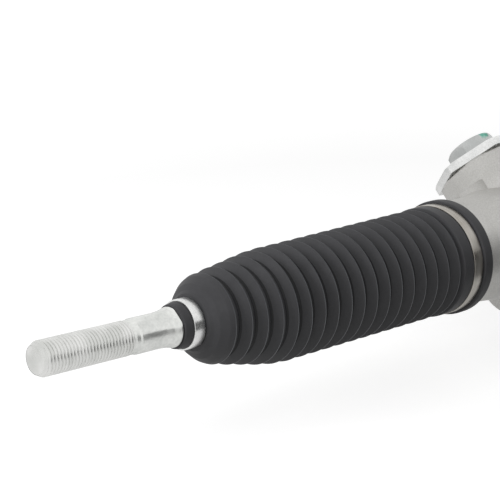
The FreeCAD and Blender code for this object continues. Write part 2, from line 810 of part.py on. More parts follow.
def yoke_spring():
    """A coil of square wire, as in die springs, that presses the yoke on the rack."""
    wire = size("spring_wire_radius")
    start = size("spring_pocket_floor") + wire
    rise = size(f"{PLUG_START} + plug_pocket_depth") - wire - start
    radius = size("spring_mean_radius")
    helix = Part.makeHelix(rise / size("spring_turns"), rise, radius)
    flat = [V(radius + x * wire, 0, z * wire) for x, z in ((-1, -1), (1, -1), (1, 1), (-1, 1))]
    section = Part.makePolygon(flat + flat[:1])
    coil = doc.addObject("Part::Feature", "spring_coil")
    coil.Shape = Part.Wire(helix).makePipeShell([section], True, True)
    foot = "(spring_pocket_floor + spring_wire_radius)"
    return place(coil, "yoke", "pinion_x", f"{foot} * sin(gear_lean * 1deg)",
                 f"{foot} * cos(gear_lean * 1deg)")


def adjuster_plug():
    body = turned("plug_barrel", [
        ("0", f"{PLUG_START} + plug_pocket_depth"),
        ("spring_pocket_radius", f"{PLUG_START} + plug_pocket_depth"),
        ("spring_pocket_radius", PLUG_START),
        ("plug_thread_radius - shaft_chamfer", PLUG_START),
        ("plug_thread_radius", f"{PLUG_START} + shaft_chamfer"),
        ("plug_thread_radius", PLUG_SHOULDER), ("0", PLUG_SHOULDER),
    ])
    prism(body, "plug_hex", "XY_Plane", hexagon("plug_hex_width"),
          f"plug_hex_top - {PLUG_SHOULDER}", PLUG_SHOULDER)
    chamfer_hex(body, "plug_hex_chamfer", "plug_hex_width", "plug_hex_top")
    return body


def lock_nut():
    body = new_body("nut_blank")
    low = "(boss_top + thread_gap)"
    outline = [(y, x) for x, y in hexagon("nut_width")]
    prism(body, "nut_hex", "XY_Plane", outline[::-1], "nut_thickness", low)
    bore = "plug_thread_radius + thread_gap"
    turn(body, "nut_bore", rectangle("0", bore, f"{low} - 1", f"{PLUG_SHOULDER} + 1"), cut=True)
    chamfer_hex(body, "nut_top_chamfer", "nut_width", PLUG_SHOULDER)
    return body


keep(yoke(), "yoke")
keep(on_yoke(yoke_liner()), "yoke_liner")
keep(yoke_o_ring(), "yoke_o_ring")
keep(yoke_spring(), "yoke_spring")
keep(on_yoke(adjuster_plug()), "adjuster_plug")
keep(on_yoke(lock_nut()), "lock_nut")


# Rack bush in the far end and the ring that holds it, flush with the stop face for the socket.
STOP_NEAR = "(near_ball_x - socket_back + washer_thickness + rack_travel + stop_gap)"
STOP_FAR = "(far_ball_x + socket_back - washer_thickness - rack_travel - stop_gap)"
BUSH_RADIUS = "(rack_radius + slide_gap + bush_wall)"
RING_START = f"({STOP_FAR} - bush_ring_width)"


def rack_bush():
    low = f"{RING_START} - thread_gap - bush_length"
    return turned("bush_sleeve", rectangle(
        "rack_radius + slide_gap", BUSH_RADIUS, low, f"{RING_START} - thread_gap"))


def bush_circlip():
    body = turned("bush_ring", rectangle(
        "rack_radius + 1", f"{BUSH_RADIUS} + bush_ring_depth - thread_gap",
        f"{RING_START} + thread_gap", f"{STOP_FAR} - thread_gap"))
    prism(body, "bush_ring_opening", "XY_Plane", rectangle(
        "0", "stop_bore", "-bush_ring_width", "bush_ring_width"),
        "2 * bush_ring_width", f"{RING_START} - 1", cut=True)
    return body


keep(place(rack_bush(), "along"), "rack_bush")
keep(place(bush_circlip(), "along"), "bush_circlip")


# Housing: case and tube turned about the rack's axis, then the pinion's tower and foot, the yoke's
# boss, the two mounting ears, ribs and the rings beside the saddle rubber.
def housing_tube():
    near_face = "(near_ball_x - tube_end)"
    near_step = "(near_ball_x - seat_end)"
    far_face = "(far_ball_x + tube_end)"
    far_step = "(far_ball_x + seat_end)"
    body = turned("housing_tube", [
        ("0", near_face), ("seat_radius - seat_chamfer", near_face),
        ("seat_radius", f"{near_face} + seat_chamfer"), ("seat_radius", near_step),
        ("near_tube_radius", near_step), ("near_tube_radius", "case_flare_start"),
        ("case_radius", "case_start"), ("case_radius", "case_end"),
        ("tube_radius", "case_end + case_taper_length"),
        ("tube_radius", f"{far_step} - collar_length - collar_taper"),
        ("near_tube_radius", f"{far_step} - collar_length"), ("near_tube_radius", far_step),
        ("seat_radius", far_step), ("seat_radius", f"{far_face} - seat_chamfer"),
        ("seat_radius - seat_chamfer", far_face), ("0", far_face),
    ])
    return place(body, "along")


def pinion_tower():
    return on_pinion(turned("pinion_tower", [
        ("0", "-foot_end"), ("foot_radius - tower_chamfer", "-foot_end"),
        ("foot_radius", "-foot_end + tower_chamfer"), ("foot_radius", "-barrel_end - 2"),
        ("barrel_radius", "-barrel_end"), ("barrel_radius", "tower_start - tower_flare"),
        ("tower_radius", "tower_start"), ("tower_radius", "tower_top - tower_chamfer"),
        ("tower_radius - tower_chamfer", "tower_top"), ("0", "tower_top"),
    ]))


def yoke_boss():
    return on_yoke(turned("yoke_boss", [
        ("0", "0"), ("boss_radius", "0"), ("boss_radius", "boss_top - boss_chamfer"),
        ("boss_radius - boss_chamfer", "boss_top"), ("0", "boss_top"),
    ]))


def boss_rib(number, side):
    """One of two gussets between the boss and the near end of the case."""
    body = new_body(f"boss_rib_{number}")
    inside = "-boss_radius + boss_rib_width"
    prism(body, f"boss_rib_{number}_web", "XZ_Plane", [
        (inside, "0"), (inside, "boss_rib_top"), ("-boss_radius", "boss_rib_top"),
        ("-boss_radius - boss_rib_reach", "case_radius - boss_rib_width / 2"),
        ("-boss_radius - boss_rib_reach", "0"),
    ], "boss_rib_width", f"{side} * boss_rib_spread", both=True)
    return on_yoke(body)


def ear_webs():
    body = new_body("ear_webs")
    reach, half = "ear_spacing / 2", "ear_web_width / 2"
    prism(body, "ear_web_plate", "XY_Plane", [
        ("-ear_web_root", "0"), (f"-{half}", f"-{reach}"), (half, f"-{reach}"),
        ("ear_web_root", "0"), (half, reach), (f"-{half}", reach),
    ], "ear_web_height", both=True)
    return body


def ear(name, side, outer, inner, length):
    """A ring or disc about the upright axis of one mounting ear."""
    body = new_body(f"{name}_{side}")
    low, high = f"-({length}) / 2", f"({length}) / 2"
    chamfer = "ear_chamfer" if name == "ear_disc" else "soft_gap"
    turn(body, f"{name}_{side}_ring", [
        (inner, low), (f"{outer} - {chamfer}", low), (outer, f"{low} + {chamfer}"),
        (outer, f"{high} - {chamfer}"), (f"{outer} - {chamfer}", high), (inner, high),
    ])
    sign = "-" if side == "front" else ""
    return place(body, "upright", "0", f"{sign}ear_spacing / 2")


def both_ears(name, outer, inner, length):
    return [ear(name, side, outer, inner, length) for side in ("front", "rear")]


def tube_ribs():
    high = "(tube_radius + tube_rib_height)"
    half = "(tube_rib_width / 2)"
    start = "(case_end + case_taper_length / 2)"
    end = "(saddle_x - saddle_length / 2 - tube_rib_gap)"
    return box("tube_ribs", (start, f"-{half}", f"-{high}"), (end, half, high))


def saddle_ring(name, start):
    return cylinder(name, "tube_radius + saddle_ring_height", "saddle_ring_width", "along", start)


def long_bores():
    """The rack's bore, the wider bores for the sockets and the seats of the bush and its ring."""
    near_face = "(near_ball_x - tube_end)"
    far_face = "(far_ball_x + tube_end)"
    bush_start = f"({RING_START} - thread_gap - bush_length - press_gap)"
    ring_bore = f"({BUSH_RADIUS} + bush_ring_depth)"
    return place(turned("long_bores", [
        ("0", f"{near_face} - 1"), ("stop_bore + bore_chamfer + 1", f"{near_face} - 1"),
        ("stop_bore", f"{near_face} + bore_chamfer"), ("stop_bore", STOP_NEAR),
        ("main_bore", STOP_NEAR), ("main_bore", bush_start),
        (f"{BUSH_RADIUS} + press_gap", bush_start), (f"{BUSH_RADIUS} + press_gap", RING_START),
        (ring_bore, RING_START), (ring_bore, f"{STOP_FAR} - thread_gap / 2"),
        (f"{BUSH_RADIUS} + press_gap", f"{STOP_FAR} - thread_gap / 2"),
        (f"{BUSH_RADIUS} + press_gap", STOP_FAR), ("stop_bore", STOP_FAR),
        ("stop_bore", f"{far_face} - bore_chamfer"),
        ("stop_bore + bore_chamfer + 1", f"{far_face} + 1"), ("0", f"{far_face} + 1"),
    ]), "along")


def pinion_bores():
    seat = "(bearing_outer_radius + press_gap)"
    thread = "(retainer_radius + thread_gap)"
    needle = "(lower_bearing_radius + press_gap)"
    plug = "(lower_plug_radius + press_gap)"
    return on_pinion(turned("pinion_bores", [
        ("0", "-foot_end - 1"), (plug, "-foot_end - 1"), (plug, PLUG_TOP), (needle, PLUG_TOP),
        (needle, "-pinion_pocket_end"), ("pinion_pocket_radius", "-pinion_pocket_end"),
        ("pinion_pocket_radius", "seat_start"), (seat, "seat_start"), (seat, BEARING_END),
        (thread, BEARING_END), (thread, "tower_top + 1"), ("0", "tower_top + 1"),
    ]))


def yoke_bores():
    bore = "(yoke_radius + slide_gap)"
    thread = "(plug_thread_radius + thread_gap)"
    return on_yoke(turned("yoke_bores", [
        ("0", "0"), (bore, "0"), (bore, "yoke_end"), (thread, "yoke_end"),
        (thread, "boss_top + 1"), ("0", "boss_top + 1"),
    ]))


def ear_bore(side):
    sign = "-" if side == "front" else ""
    return cylinder(f"ear_bore_{side}", "ear_bore", "ear_height + 2", "upright",
                    "-ear_height / 2 - 1", "0", f"{sign}ear_spacing / 2")


SADDLE_LOW = "(saddle_x - saddle_length / 2)"
SADDLE_HIGH = "(saddle_x + saddle_length / 2)"
casting = fused("housing_casting", [
    housing_tube(), pinion_tower(), yoke_boss(), boss_rib(1, "1"), boss_rib(2, "-1"), ear_webs(),
    *both_ears("ear_disc", "ear_radius", "0", "ear_height"), tube_ribs(),
    saddle_ring("saddle_ring_low", f"{SADDLE_LOW} - thread_gap - saddle_ring_width"),
    saddle_ring("saddle_ring_high", f"{SADDLE_HIGH} + thread_gap"),
])
bores = fused("housing_bores", [
    long_bores(), pinion_bores(), yoke_bores(), ear_bore("front"), ear_bore("rear"),
])
keep(removed("housing_shape", casting, bores), "housing")


# Rubber and steel bushes of the ears, and the saddle rubber of the far mounting.
def pair(name, things):
    both = doc.addObject("Part::Compound", name)
    both.Links = things
    return both


keep(pair("ear_rubber_pair", both_ears(
    "ear_rubber", "ear_bore - press_gap", "sleeve_radius + press_gap", "ear_height")), "ear_rubbers")
keep(pair("ear_sleeve_pair", both_ears(
    "ear_sleeve", "sleeve_radius", "sleeve_bore", "sleeve_length")), "ear_sleeves")
saddle = turned("saddle_sleeve", [
    ("tube_radius + press_gap", SADDLE_LOW), ("saddle_flange_radius", SADDLE_LOW),
    ("saddle_flange_radius", f"{SADDLE_LOW} + saddle_flange_width"),
    ("saddle_radius", f"{SADDLE_LOW} + saddle_flange_width"),
    ("saddle_radius", f"{SADDLE_HIGH} - saddle_flange_width"),
    ("saddle_flange_radius", f"{SADDLE_HIGH} - saddle_flange_width"),
    ("saddle_flange_radius", SADDLE_HIGH), ("tube_radius + press_gap", SADDLE_HIGH),
])
keep(place(saddle, "along"), "saddle_rubber")


# The two ends. Every outline is drawn once, its height measured outboard from the ball's centre.
SEAT_OUTER = "(ball_radius + seat_wall)"
CAVITY = "(ball_radius + seat_wall + press_gap)"


def across(radius, height):
    """Half width of a ball of a radius at a height from its centre."""
    return f"sqrt(({radius})^2 - ({height})^2)"


def ball_socket(end):
    body = turned(f"{end}_socket_body", [
        ("0", "socket_back - socket_stud_length"),
        ("socket_stud_radius - tie_chamfer", "socket_back - socket_stud_length"),
        ("socket_stud_radius", "socket_back - socket_stud_length + tie_chamfer"),
        ("socket_stud_radius", "socket_back"),
        ("socket_hex_width / 2 - soft_gap", "socket_back"),
        ("socket_hex_width / 2 - soft_gap", "socket_back + socket_hex_length"),
        ("socket_radius", "socket_back + socket_hex_length"),
        ("socket_radius", "socket_taper_start"), ("socket_nose_radius", "socket_nose"),
        ("socket_lip_radius", "socket_nose"), ("socket_lip_radius", "socket_lip"),
        (across(CAVITY, "socket_lip"), "socket_lip", f"-{CAVITY}"),
        (across(CAVITY, "seat_back"), "seat_back"),
        (across(CAVITY, "seat_back"), "socket_cavity_floor"), ("0", "socket_cavity_floor"),
    ])
    prism(body, f"{end}_socket_hex", "XY_Plane", hexagon("socket_hex_width"),
          "socket_hex_length", "socket_back")
    return body


def ball_seat(end):
    inner = "(ball_radius + slide_gap)"
    low, high = "(seat_back + press_gap)", "(socket_lip - press_gap)"
    return turned(f"{end}_seat_cup", [
        (across(SEAT_OUTER, low), low, SEAT_OUTER), (across(SEAT_OUTER, high), high),
        (across(inner, high), high, f"-{inner}"), (across(inner, low), low),
    ])


def lock_washer(end):
    low = "(socket_back - washer_thickness + press_gap)"
    flat = "(socket_hex_width / 2 + press_gap)"
    body = turned(f"{end}_washer_disc", rectangle(
        "socket_stud_radius + thread_gap", "washer_radius", low, "socket_back - press_gap"))
    prism(body, f"{end}_washer_tab", "XY_Plane", rectangle(
        flat, f"{flat} + washer_thickness", "-washer_tab_width / 2", "washer_tab_width / 2"),
        "washer_tab_length + washer_thickness", low)
    return body


def tie_rod(end):
    thread_end = "(tie_thread_start + tie_thread_length)"
    ridge_end = "(tie_groove_end + tie_shoulder_width)"
    body = turned(f"{end}_rod", [
        ("0", "-ball_radius", "ball_radius"),
        ("tie_neck_radius", across("ball_radius", "tie_neck_radius")),
        ("tie_neck_radius", "tie_neck_end"), ("tie_shank_radius", "tie_shank_start"),
        ("tie_shank_radius", "tie_collar_start - 2"), ("tie_collar_radius", "tie_collar_start"),
        ("tie_collar_radius", "tie_groove_start"), ("tie_groove_radius", "tie_groove_start"),
        ("tie_groove_radius", "tie_groove_end"), ("tie_shoulder_radius", "tie_groove_end"),
        ("tie_shoulder_radius", ridge_end, "-tie_flare_radius"),
        ("tie_shank_radius", "tie_flare_end"),
        ("tie_shank_radius", "tie_runout_start"),
        ("tie_runout_radius", "tie_runout_start + soft_gap"),
        ("tie_runout_radius", "tie_thread_start - soft_gap"),
        ("tie_thread_radius", "tie_thread_start"),
        ("tie_thread_radius", f"{thread_end} - tie_chamfer"),
        ("tie_thread_radius - tie_chamfer", thread_end), ("0", thread_end),
    ])
    for number, side in enumerate(("1", "-1"), 1):
        near, far = f"{side} * tie_flat_width / 2", f"{side} * 1.5 * tie_shank_radius"
        prism(body, f"{end}_rod_flat_{number}", "XY_Plane", rectangle(
            near, far, "-tie_flat_width", "tie_flat_width"), "tie_flat_end - tie_flat_start",
            "tie_flat_start", cut=True, spin="tie_flat_turn")
    return body


def bellows(end):
    """The folded sleeve: large end on the housing's seat, small end in the tie rod's groove."""
    outer = [
        ("seat_radius + boot_fit", "boot_lip_end"), ("boot_lip_radius", "boot_lip_end"),
        ("boot_lip_radius", "boot_lip_start"), ("boot_band_radius", "boot_lip_start"),
        ("boot_band_radius", "boot_band_end"), ("boot_ring_radius", "boot_band_end"),
        ("boot_ring_radius", "boot_ring_end"),
        ("boot_ring_radius - boot_depth / 2", "(boot_ring_end + boot_first_crest) / 2"),
    ]
    for i in range(BODY_CRESTS):
        crest = f"boot_crest_radius - {i} * boot_crest_taper"
        outer.append((crest, f"boot_first_crest + {i} * boot_pitch"))
        if i < BODY_CRESTS - 1:
            outer.append((f"{crest} - boot_depth", f"boot_first_crest + {i + 0.5} * boot_pitch"))
    last_crest = f"boot_first_crest + {BODY_CRESTS - 1} * boot_pitch"
    radii = NOSE_CRESTS[::-1]
    last = f"boot_crest_radius - {BODY_CRESTS - 1} * boot_crest_taper"
    nose_start = f"({last_crest} + boot_nose_pitch)"
    valley = f"({last} + {radii[0]}) / 2 - (boot_depth + boot_nose_depth) / 2"
    outer.append((valley, f"{last_crest} + 0.5 * boot_nose_pitch"))
    for i, radius in enumerate(radii):
        outer.append((f"{radius}", f"{nose_start} + {i} * boot_nose_pitch"))
        if i < len(radii) - 1:
            outer.append((f"{(radius + radii[i + 1]) / 2} - boot_nose_depth",
                          f"{nose_start} + {i + 0.5} * boot_nose_pitch"))
    neck = f"({nose_start} + {len(radii) - 1} * boot_nose_pitch)"
    bore = "(tie_groove_radius + cuff_fit)"
    outer += [
        (f"{radii[-1]} - 1.2", f"{neck} + 4.3"), (f"{radii[-1]} - 2.8", f"{neck} + 8"),
        ("boot_shoulder_radius + 1", "boot_nose_end"),
        ("boot_shoulder_radius", "boot_nose_end + 1"),
        ("boot_cuff_radius", "boot_cuff_band_start"), ("boot_cuff_radius", "boot_cuff_band_end"),
        ("boot_cuff_tip_radius", "boot_cuff_end"), (bore, "boot_cuff_end"),
        (bore, "boot_cuff_band_start - 0.5"), (f"{bore} + 3", "boot_nose_end - 0.5"),
        (f"{radii[-1]} - 3.9", f"{neck} + 3"),
        ("boot_bore", nose_start), ("boot_bore", "tube_end + boot_depth"),
        ("seat_radius + boot_fit", "tube_end + boot_fit"),
    ]
    return turned(f"{end}_boot", outer)


def clamp(name, radius, width, thickness, middle):
    """A flat band with its crimped ear standing up on the side away from the road's front."""
    low = f"(({middle}) - ({width}) / 2)"
    inner = f"({radius} + boot_fit)"
    body = turned(f"{name}_band", rectangle(
        inner, f"{inner} + {thickness}", low, f"{low} + {width}"))
    half = "clamp_ear_width / 2"
    foot = f"{inner} + {thickness} / 4"
    prism(body, f"{name}_ear", "XY_Plane", [
        (f"-({half})", foot), (half, foot), (f"({half}) * 0.6", f"{inner} + clamp_ear_height"),
        (f"-({half}) * 0.6", f"{inner} + clamp_ear_height"),
    ], width, low)
    return body


for end, frame in (("near", "back"), ("far", "along")):
    made = {
        "socket": ball_socket(end), "ball_seat": ball_seat(end), "lock_washer": lock_washer(end),
        "tie_rod": tie_rod(end), "bellows": bellows(end),
        "large_clamp": clamp(f"{end}_large_clamp", "boot_band_radius", "large_clamp_width",
                             "large_clamp_thickness", "(boot_lip_start + boot_band_end) / 2"),
        "small_clamp": clamp(f"{end}_small_clamp", "boot_cuff_radius", "small_clamp_width",
                             "small_clamp_thickness",
                             "(boot_cuff_band_start + boot_cuff_band_end) / 2"),
    }
    for name, thing in made.items():
        keep(place(thing, frame, f"{end}_ball_x"), f"{end}_{name}")


# Nothing is written unless every object is sound and every piece is a valid solid.
doc.recompute()
for thing in doc.Objects:
    if "Invalid" in thing.State or "Error" in thing.State:
        raise SystemExit(f"object in error: {thing.Name} {thing.State}")
for piece in subparts:
    if piece.Shape.isNull() or not piece.Shape.isValid() or not piece.Shape.Solids:
        raise SystemExit(f"bad shape: {piece.Label}")

os.makedirs("parts", exist_ok=True)
for piece in subparts:
    piece.Shape.exportStep(f"parts/{piece.Label}.step")
    print(f"{piece.Label}: {piece.Shape.Volume / 1000:.2f} cm3")
print(len(subparts), "pieces written")
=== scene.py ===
# %% [markdown]
# A steering rack seen from the end of its inner tie rod: a bright threaded rod, a black folded
# bellows held by two metal bands, and a light alloy casting with the hexagons of its yoke adjuster.
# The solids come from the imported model. This scene gives each of them a finish, and makes again the
# pieces whose looks need more than a plain solid: rubber with rounded folds, a rolled thread, bands.

import math

import bpy
from mathutils import Matrix, Vector


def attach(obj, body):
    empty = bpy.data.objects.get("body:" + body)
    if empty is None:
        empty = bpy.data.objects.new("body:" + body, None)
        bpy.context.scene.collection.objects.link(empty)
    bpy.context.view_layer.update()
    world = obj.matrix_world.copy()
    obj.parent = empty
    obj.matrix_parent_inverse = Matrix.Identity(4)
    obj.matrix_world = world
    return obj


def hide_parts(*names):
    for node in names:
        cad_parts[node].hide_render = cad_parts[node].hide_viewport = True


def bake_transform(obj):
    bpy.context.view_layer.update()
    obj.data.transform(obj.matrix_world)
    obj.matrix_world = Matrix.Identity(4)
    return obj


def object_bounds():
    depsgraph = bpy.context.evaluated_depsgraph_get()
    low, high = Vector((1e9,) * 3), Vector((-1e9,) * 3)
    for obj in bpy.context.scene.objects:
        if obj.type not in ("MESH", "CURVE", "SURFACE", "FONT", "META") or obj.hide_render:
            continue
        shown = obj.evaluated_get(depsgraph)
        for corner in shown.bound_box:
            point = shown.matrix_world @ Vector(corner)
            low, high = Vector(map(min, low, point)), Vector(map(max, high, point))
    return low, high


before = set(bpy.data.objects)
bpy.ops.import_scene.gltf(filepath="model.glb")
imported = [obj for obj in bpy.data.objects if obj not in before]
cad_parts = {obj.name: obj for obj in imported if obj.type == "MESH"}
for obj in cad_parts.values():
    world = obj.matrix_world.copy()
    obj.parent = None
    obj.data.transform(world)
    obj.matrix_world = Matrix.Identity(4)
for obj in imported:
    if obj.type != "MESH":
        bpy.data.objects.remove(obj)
solid_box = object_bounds()
scene = bpy.context.scene

# %% [markdown]
# Sizes are given in millimetres, as they are in a workshop, and turned to metres where a mesh is
# made. Everything that is turned on a lathe or moulded round an axis is drawn in the frame of that
# axis: its own Z runs along the axis, so one outline serves the near end and the far end alike.

# %% Frames of the turned pieces
MM = 0.001
LEAN = math.radians(43)
YOKE_DIRECTION = Vector((0, math.sin(LEAN), math.cos(LEAN)))
PINION_DIRECTION = Vector((0, -math.cos(LEAN), math.sin(LEAN)))
PINION_X = -50.0
PINION_OFFSET = 15.5
EAR_SPACING = 88.0
NEAR_RISE = math.radians(1.31)


def axis_frame(origin, z_direction, y_direction):
    """The matrix of a frame whose Z and Y directions are given, with its origin in millimetres."""
    z, y = Vector(z_direction).normalized(), Vector(y_direction).normalized()
    turn = Matrix((y.cross(z), y, z)).transposed().to_4x4()
    return Matrix.Translation(Vector(origin) * MM) @ turn


FRAMES = {
    "near": axis_frame((-194, 0, 0), (-1, 0, 0), (0, 1, 0)),
    "far": axis_frame((416, 0, 0), (1, 0, 0), (0, 1, 0)),
    "near_rod": axis_frame((-194, 0, 0), (-math.cos(NEAR_RISE), 0, math.sin(NEAR_RISE)), (0, 1, 0)),
    "far_rod": axis_frame((416, 0, 0), (1, 0, 0), (0, 1, 0)),
    "rack": axis_frame((0, 0, 0), (1, 0, 0), (0, 1, 0)),
    "pinion": axis_frame(Vector((PINION_X, 0, 0)) - PINION_OFFSET * YOKE_DIRECTION,
                         PINION_DIRECTION, YOKE_DIRECTION),
    "yoke": axis_frame((PINION_X, 0, 0), YOKE_DIRECTION, -PINION_DIRECTION),
    "front_ear": axis_frame((0, -EAR_SPACING / 2, 0), (0, 0, 1), (0, 1, 0)),
    "rear_ear": axis_frame((0, EAR_SPACING / 2, 0), (0, 0, 1), (0, 1, 0)),
}
print("frames", list(FRAMES))

# %% [markdown]
# A turned outline has few corners, but real edges are never sharp: a mould has radii and a lathe
# tool breaks each edge. So each corner carries its own radius, and the outline is rounded before it
# is spun. Rounding the outline costs far less than a bevel on the finished mesh.


# %% Round an outline and spin it
def rounded(corners, closed=False, arc_steps=6):
    """Points of an outline of (z, r, radius) corners, each corner eased into a short curve."""
    count = len(corners)
    points = []
    for i, corner in enumerate(corners):
        here = Vector(corner[:2])
        radius = corner[2] if len(corner) > 2 else 0
        at_end = not closed and i in (0, count - 1)
        if radius <= 0 or at_end:
            points.append(here)
            continue
        back = Vector(corners[i - 1][:2]) - here
        ahead = Vector(corners[(i + 1) % count][:2]) - here
        half = back.angle(ahead) / 2
        reach = min(radius / math.tan(half), 0.48 * back.length, 0.48 * ahead.length)
        start, end = here + back.normalized() * reach, here + ahead.normalized() * reach
        for step in range(arc_steps + 1):
            t = step / arc_steps
            points.append((1 - t) ** 2 * start + 2 * t * (1 - t) * here + t ** 2 * end)
    return points


def make_object(name, verts, faces, place, smooth=True):
    """A mesh object from points in millimetres, put where its frame says."""
    mesh = bpy.data.meshes.new(name)
    mesh.from_pydata([place @ (Vector(v) * MM) for v in verts], [], faces)
    mesh.validate()
    mesh.polygons.foreach_set("use_smooth", [smooth] * len(mesh.polygons))
    piece = bpy.data.objects.new(name, mesh)
    scene.collection.objects.link(piece)
    return piece


def spin(name, points, place, closed=False, steps=128):
    """Spins (z, r) points about the frame's Z. An outline runs up its outside, then back inside."""
    rows = len(points)
    verts = []
    for z, r in points:
        for j in range(steps):
            angle = 2 * math.pi * j / steps
            verts.append((r * math.cos(angle), r * math.sin(angle), z))
    faces = []
    for i in range(rows if closed else rows - 1):
        below, above = i * steps, (i + 1) % rows * steps
        for j in range(steps):
            k = (j + 1) % steps
            faces.append((below + j, below + k, above + k, above + j))
    return make_object(name, verts, faces, place)


print("a rounded square has", len(rounded([(0, 0, 1), (9, 0, 1), (9, 9, 1), (0, 9, 1)], True)), "points")

# %% [markdown]
# Every colour below is written as the sRGB value that a colour picker shows, and turned to the
# linear value that a shader needs. A second small function adds one node with its settings and
# links, so that a material reads as a list of what feeds what.


# %% Colours and nodes
def linear(hex_colour):
    """Linear RGBA of an sRGB hex colour such as "3A3C3E"."""
    parts = [int(hex_colour[i:i + 2], 16) / 255 for i in (0, 2, 4)]
    return tuple(c / 12.92 if c <= 0.04045 else ((c + 0.055) / 1.055) ** 2.4 for c in parts) + (1,)


def add(tree, kind, settings=None, **inputs):
    """Adds a node. Settings are its properties; an input is a value or another node's socket."""
    made = tree.nodes.new(kind)
    for name, value in (settings or {}).items():
        setattr(made, name, value)
    for name, value in inputs.items():
        key = int(name[1:]) if name[0] == "i" and name[1:].isdigit() else name.replace("_", " ")
        if isinstance(value, bpy.types.NodeSocket):
            tree.links.new(value, made.inputs[key])
        else:
            made.inputs[key].default_value = value
    return made


def new_material(name, metallic, roughness, colour=None):
    """A material with its Principled shader, its output and the piece's own coordinates in metres."""
    material = bpy.data.materials.new(name)
    material.use_nodes = True
    tree = material.node_tree
    shader = tree.nodes["Principled BSDF"]
    shader.inputs["Metallic"].default_value = metallic
    shader.inputs["Roughness"].default_value = roughness
    if colour:
        shader.inputs["Base Color"].default_value = linear(colour)
    place = add(tree, "ShaderNodeTexCoord").outputs["Object"]
    return material, tree, shader, place


def ramp(tree, factor, stops):
    """A colour ramp of (position, hex colour or grey level) stops."""
    made = add(tree, "ShaderNodeValToRGB", Fac=factor)
    for number, (position, colour) in enumerate(stops):
        stop = made.color_ramp.elements[number] if number < 2 else made.color_ramp.elements.new(position)
        stop.position = position
        stop.color = linear(colour) if isinstance(colour, str) else (colour, colour, colour, 1)
    return made.outputs["Color"]


def bump(tree, shader, height, depth_mm, strength=1.0, before=None):
    """Raises a height of 0 to 1 by a real depth, on top of an earlier bump if there is one."""
    made = add(tree, "ShaderNodeBump", Strength=strength, Distance=depth_mm * MM, Height=height)
    if before:
        tree.links.new(before, made.inputs["Normal"])
    tree.links.new(made.outputs["Normal"], shader.inputs["Normal"])
    return made.outputs["Normal"]


print("mid grey", [round(c, 3) for c in linear("808080")])

# %% [markdown]
# The bellows is moulded rubber, chloroprene on real gears, carbon black all through. Moulded rubber
# is dark and almost without gloss, with a fine orange-peel skin and a trace of grey bloom on what
# the hands and the box rub. Three finishes of the same rubber are made here: the plain skin, the crests,
# which carry a painted highlight that is paler on the lower side, and the valleys, which are painted near
# black as painted shade. Each gets its own faces further down, which keeps the lines between them sharp
# and even.


# %% Moulded chloroprene rubber
def moulded_rubber(name, colour, bloom_and_highlight_colour, grain_mm, roughness=0.58, highlight_below=None):
    """Black rubber with random paler patches, or, given a height in millimetres, a painted highlight that
    is paler towards the bottom.
    """
    material, tree, shader, place = new_material(name, 0.0, roughness)
    patches = add(tree, "ShaderNodeTexNoise", Vector=place, Scale=1 / (14 * MM), Detail=5.0,
                  Roughness=0.62)
    grain = add(tree, "ShaderNodeTexNoise", Vector=place, Scale=1 / (grain_mm * MM), Detail=3.0)
    bloom_and_highlight = ramp(tree, patches.outputs["Fac"], [(0.42, 0.0), (0.72, 1.0)])
    # Given a height, the pale colour is a painted highlight, paler towards the bottom, in place of the
    # patches.
    if highlight_below is not None:
        height = add(tree, "ShaderNodeSeparateXYZ", Vector=place).outputs["Z"]
        bloom_and_highlight = add(tree, "ShaderNodeMapRange", Value=height, From_Min=(highlight_below + 14) * MM,
                    From_Max=(highlight_below - 8) * MM).outputs["Result"]
    blend = add(tree, "ShaderNodeMix", {"data_type": "RGBA"}, Factor=bloom_and_highlight)
    blend.inputs[6].default_value = linear(colour)
    blend.inputs[7].default_value = linear(bloom_and_highlight_colour)
    tree.links.new(blend.outputs[2], shader.inputs["Base Color"])
    dullness = ramp(tree, patches.outputs["Fac"], [(0.3, roughness - 0.06), (0.75, roughness + 0.1)])
    tree.links.new(dullness, shader.inputs["Roughness"])
    bump(tree, shader, grain.outputs["Fac"], 0.05, 0.5)
    shader.inputs["Specular IOR Level"].default_value = 0.42
    return material


BELLOWS_RUBBER = moulded_rubber("moulded_chloroprene", "2F2F31", "3B3B3D", 0.5)
# The valleys are painted near black: painted shade.
VALLEY_SHADE_RUBBER = moulded_rubber("moulded_chloroprene_painted_valley_shade", "0C0D0E", "141517", 0.5, 0.7)
# The crests carry a painted highlight, paler towards the bottom.
CREST_HIGHLIGHT_RUBBER = moulded_rubber("moulded_chloroprene_painted_crest_highlight", "3A3C3F", "6E7073", 0.5, 0.6,
                               highlight_below=4)
SOFT_RUBBER = moulded_rubber("moulded_natural_rubber", "222326", "2E2F32", 0.6, 0.64)
print("rubber", [m.name for m in (BELLOWS_RUBBER, VALLEY_SHADE_RUBBER, CREST_HIGHLIGHT_RUBBER, SOFT_RUBBER)])

# %% [markdown]
# Sand-cast and die-cast aluminium is bead blasted after casting. The skin is a pale even grey made
# of tiny dents, so it scatters light almost like paint while it still is a metal. The dents are
# about a third of a millimetre across, too fine to show here, so they are drawn at twice that.


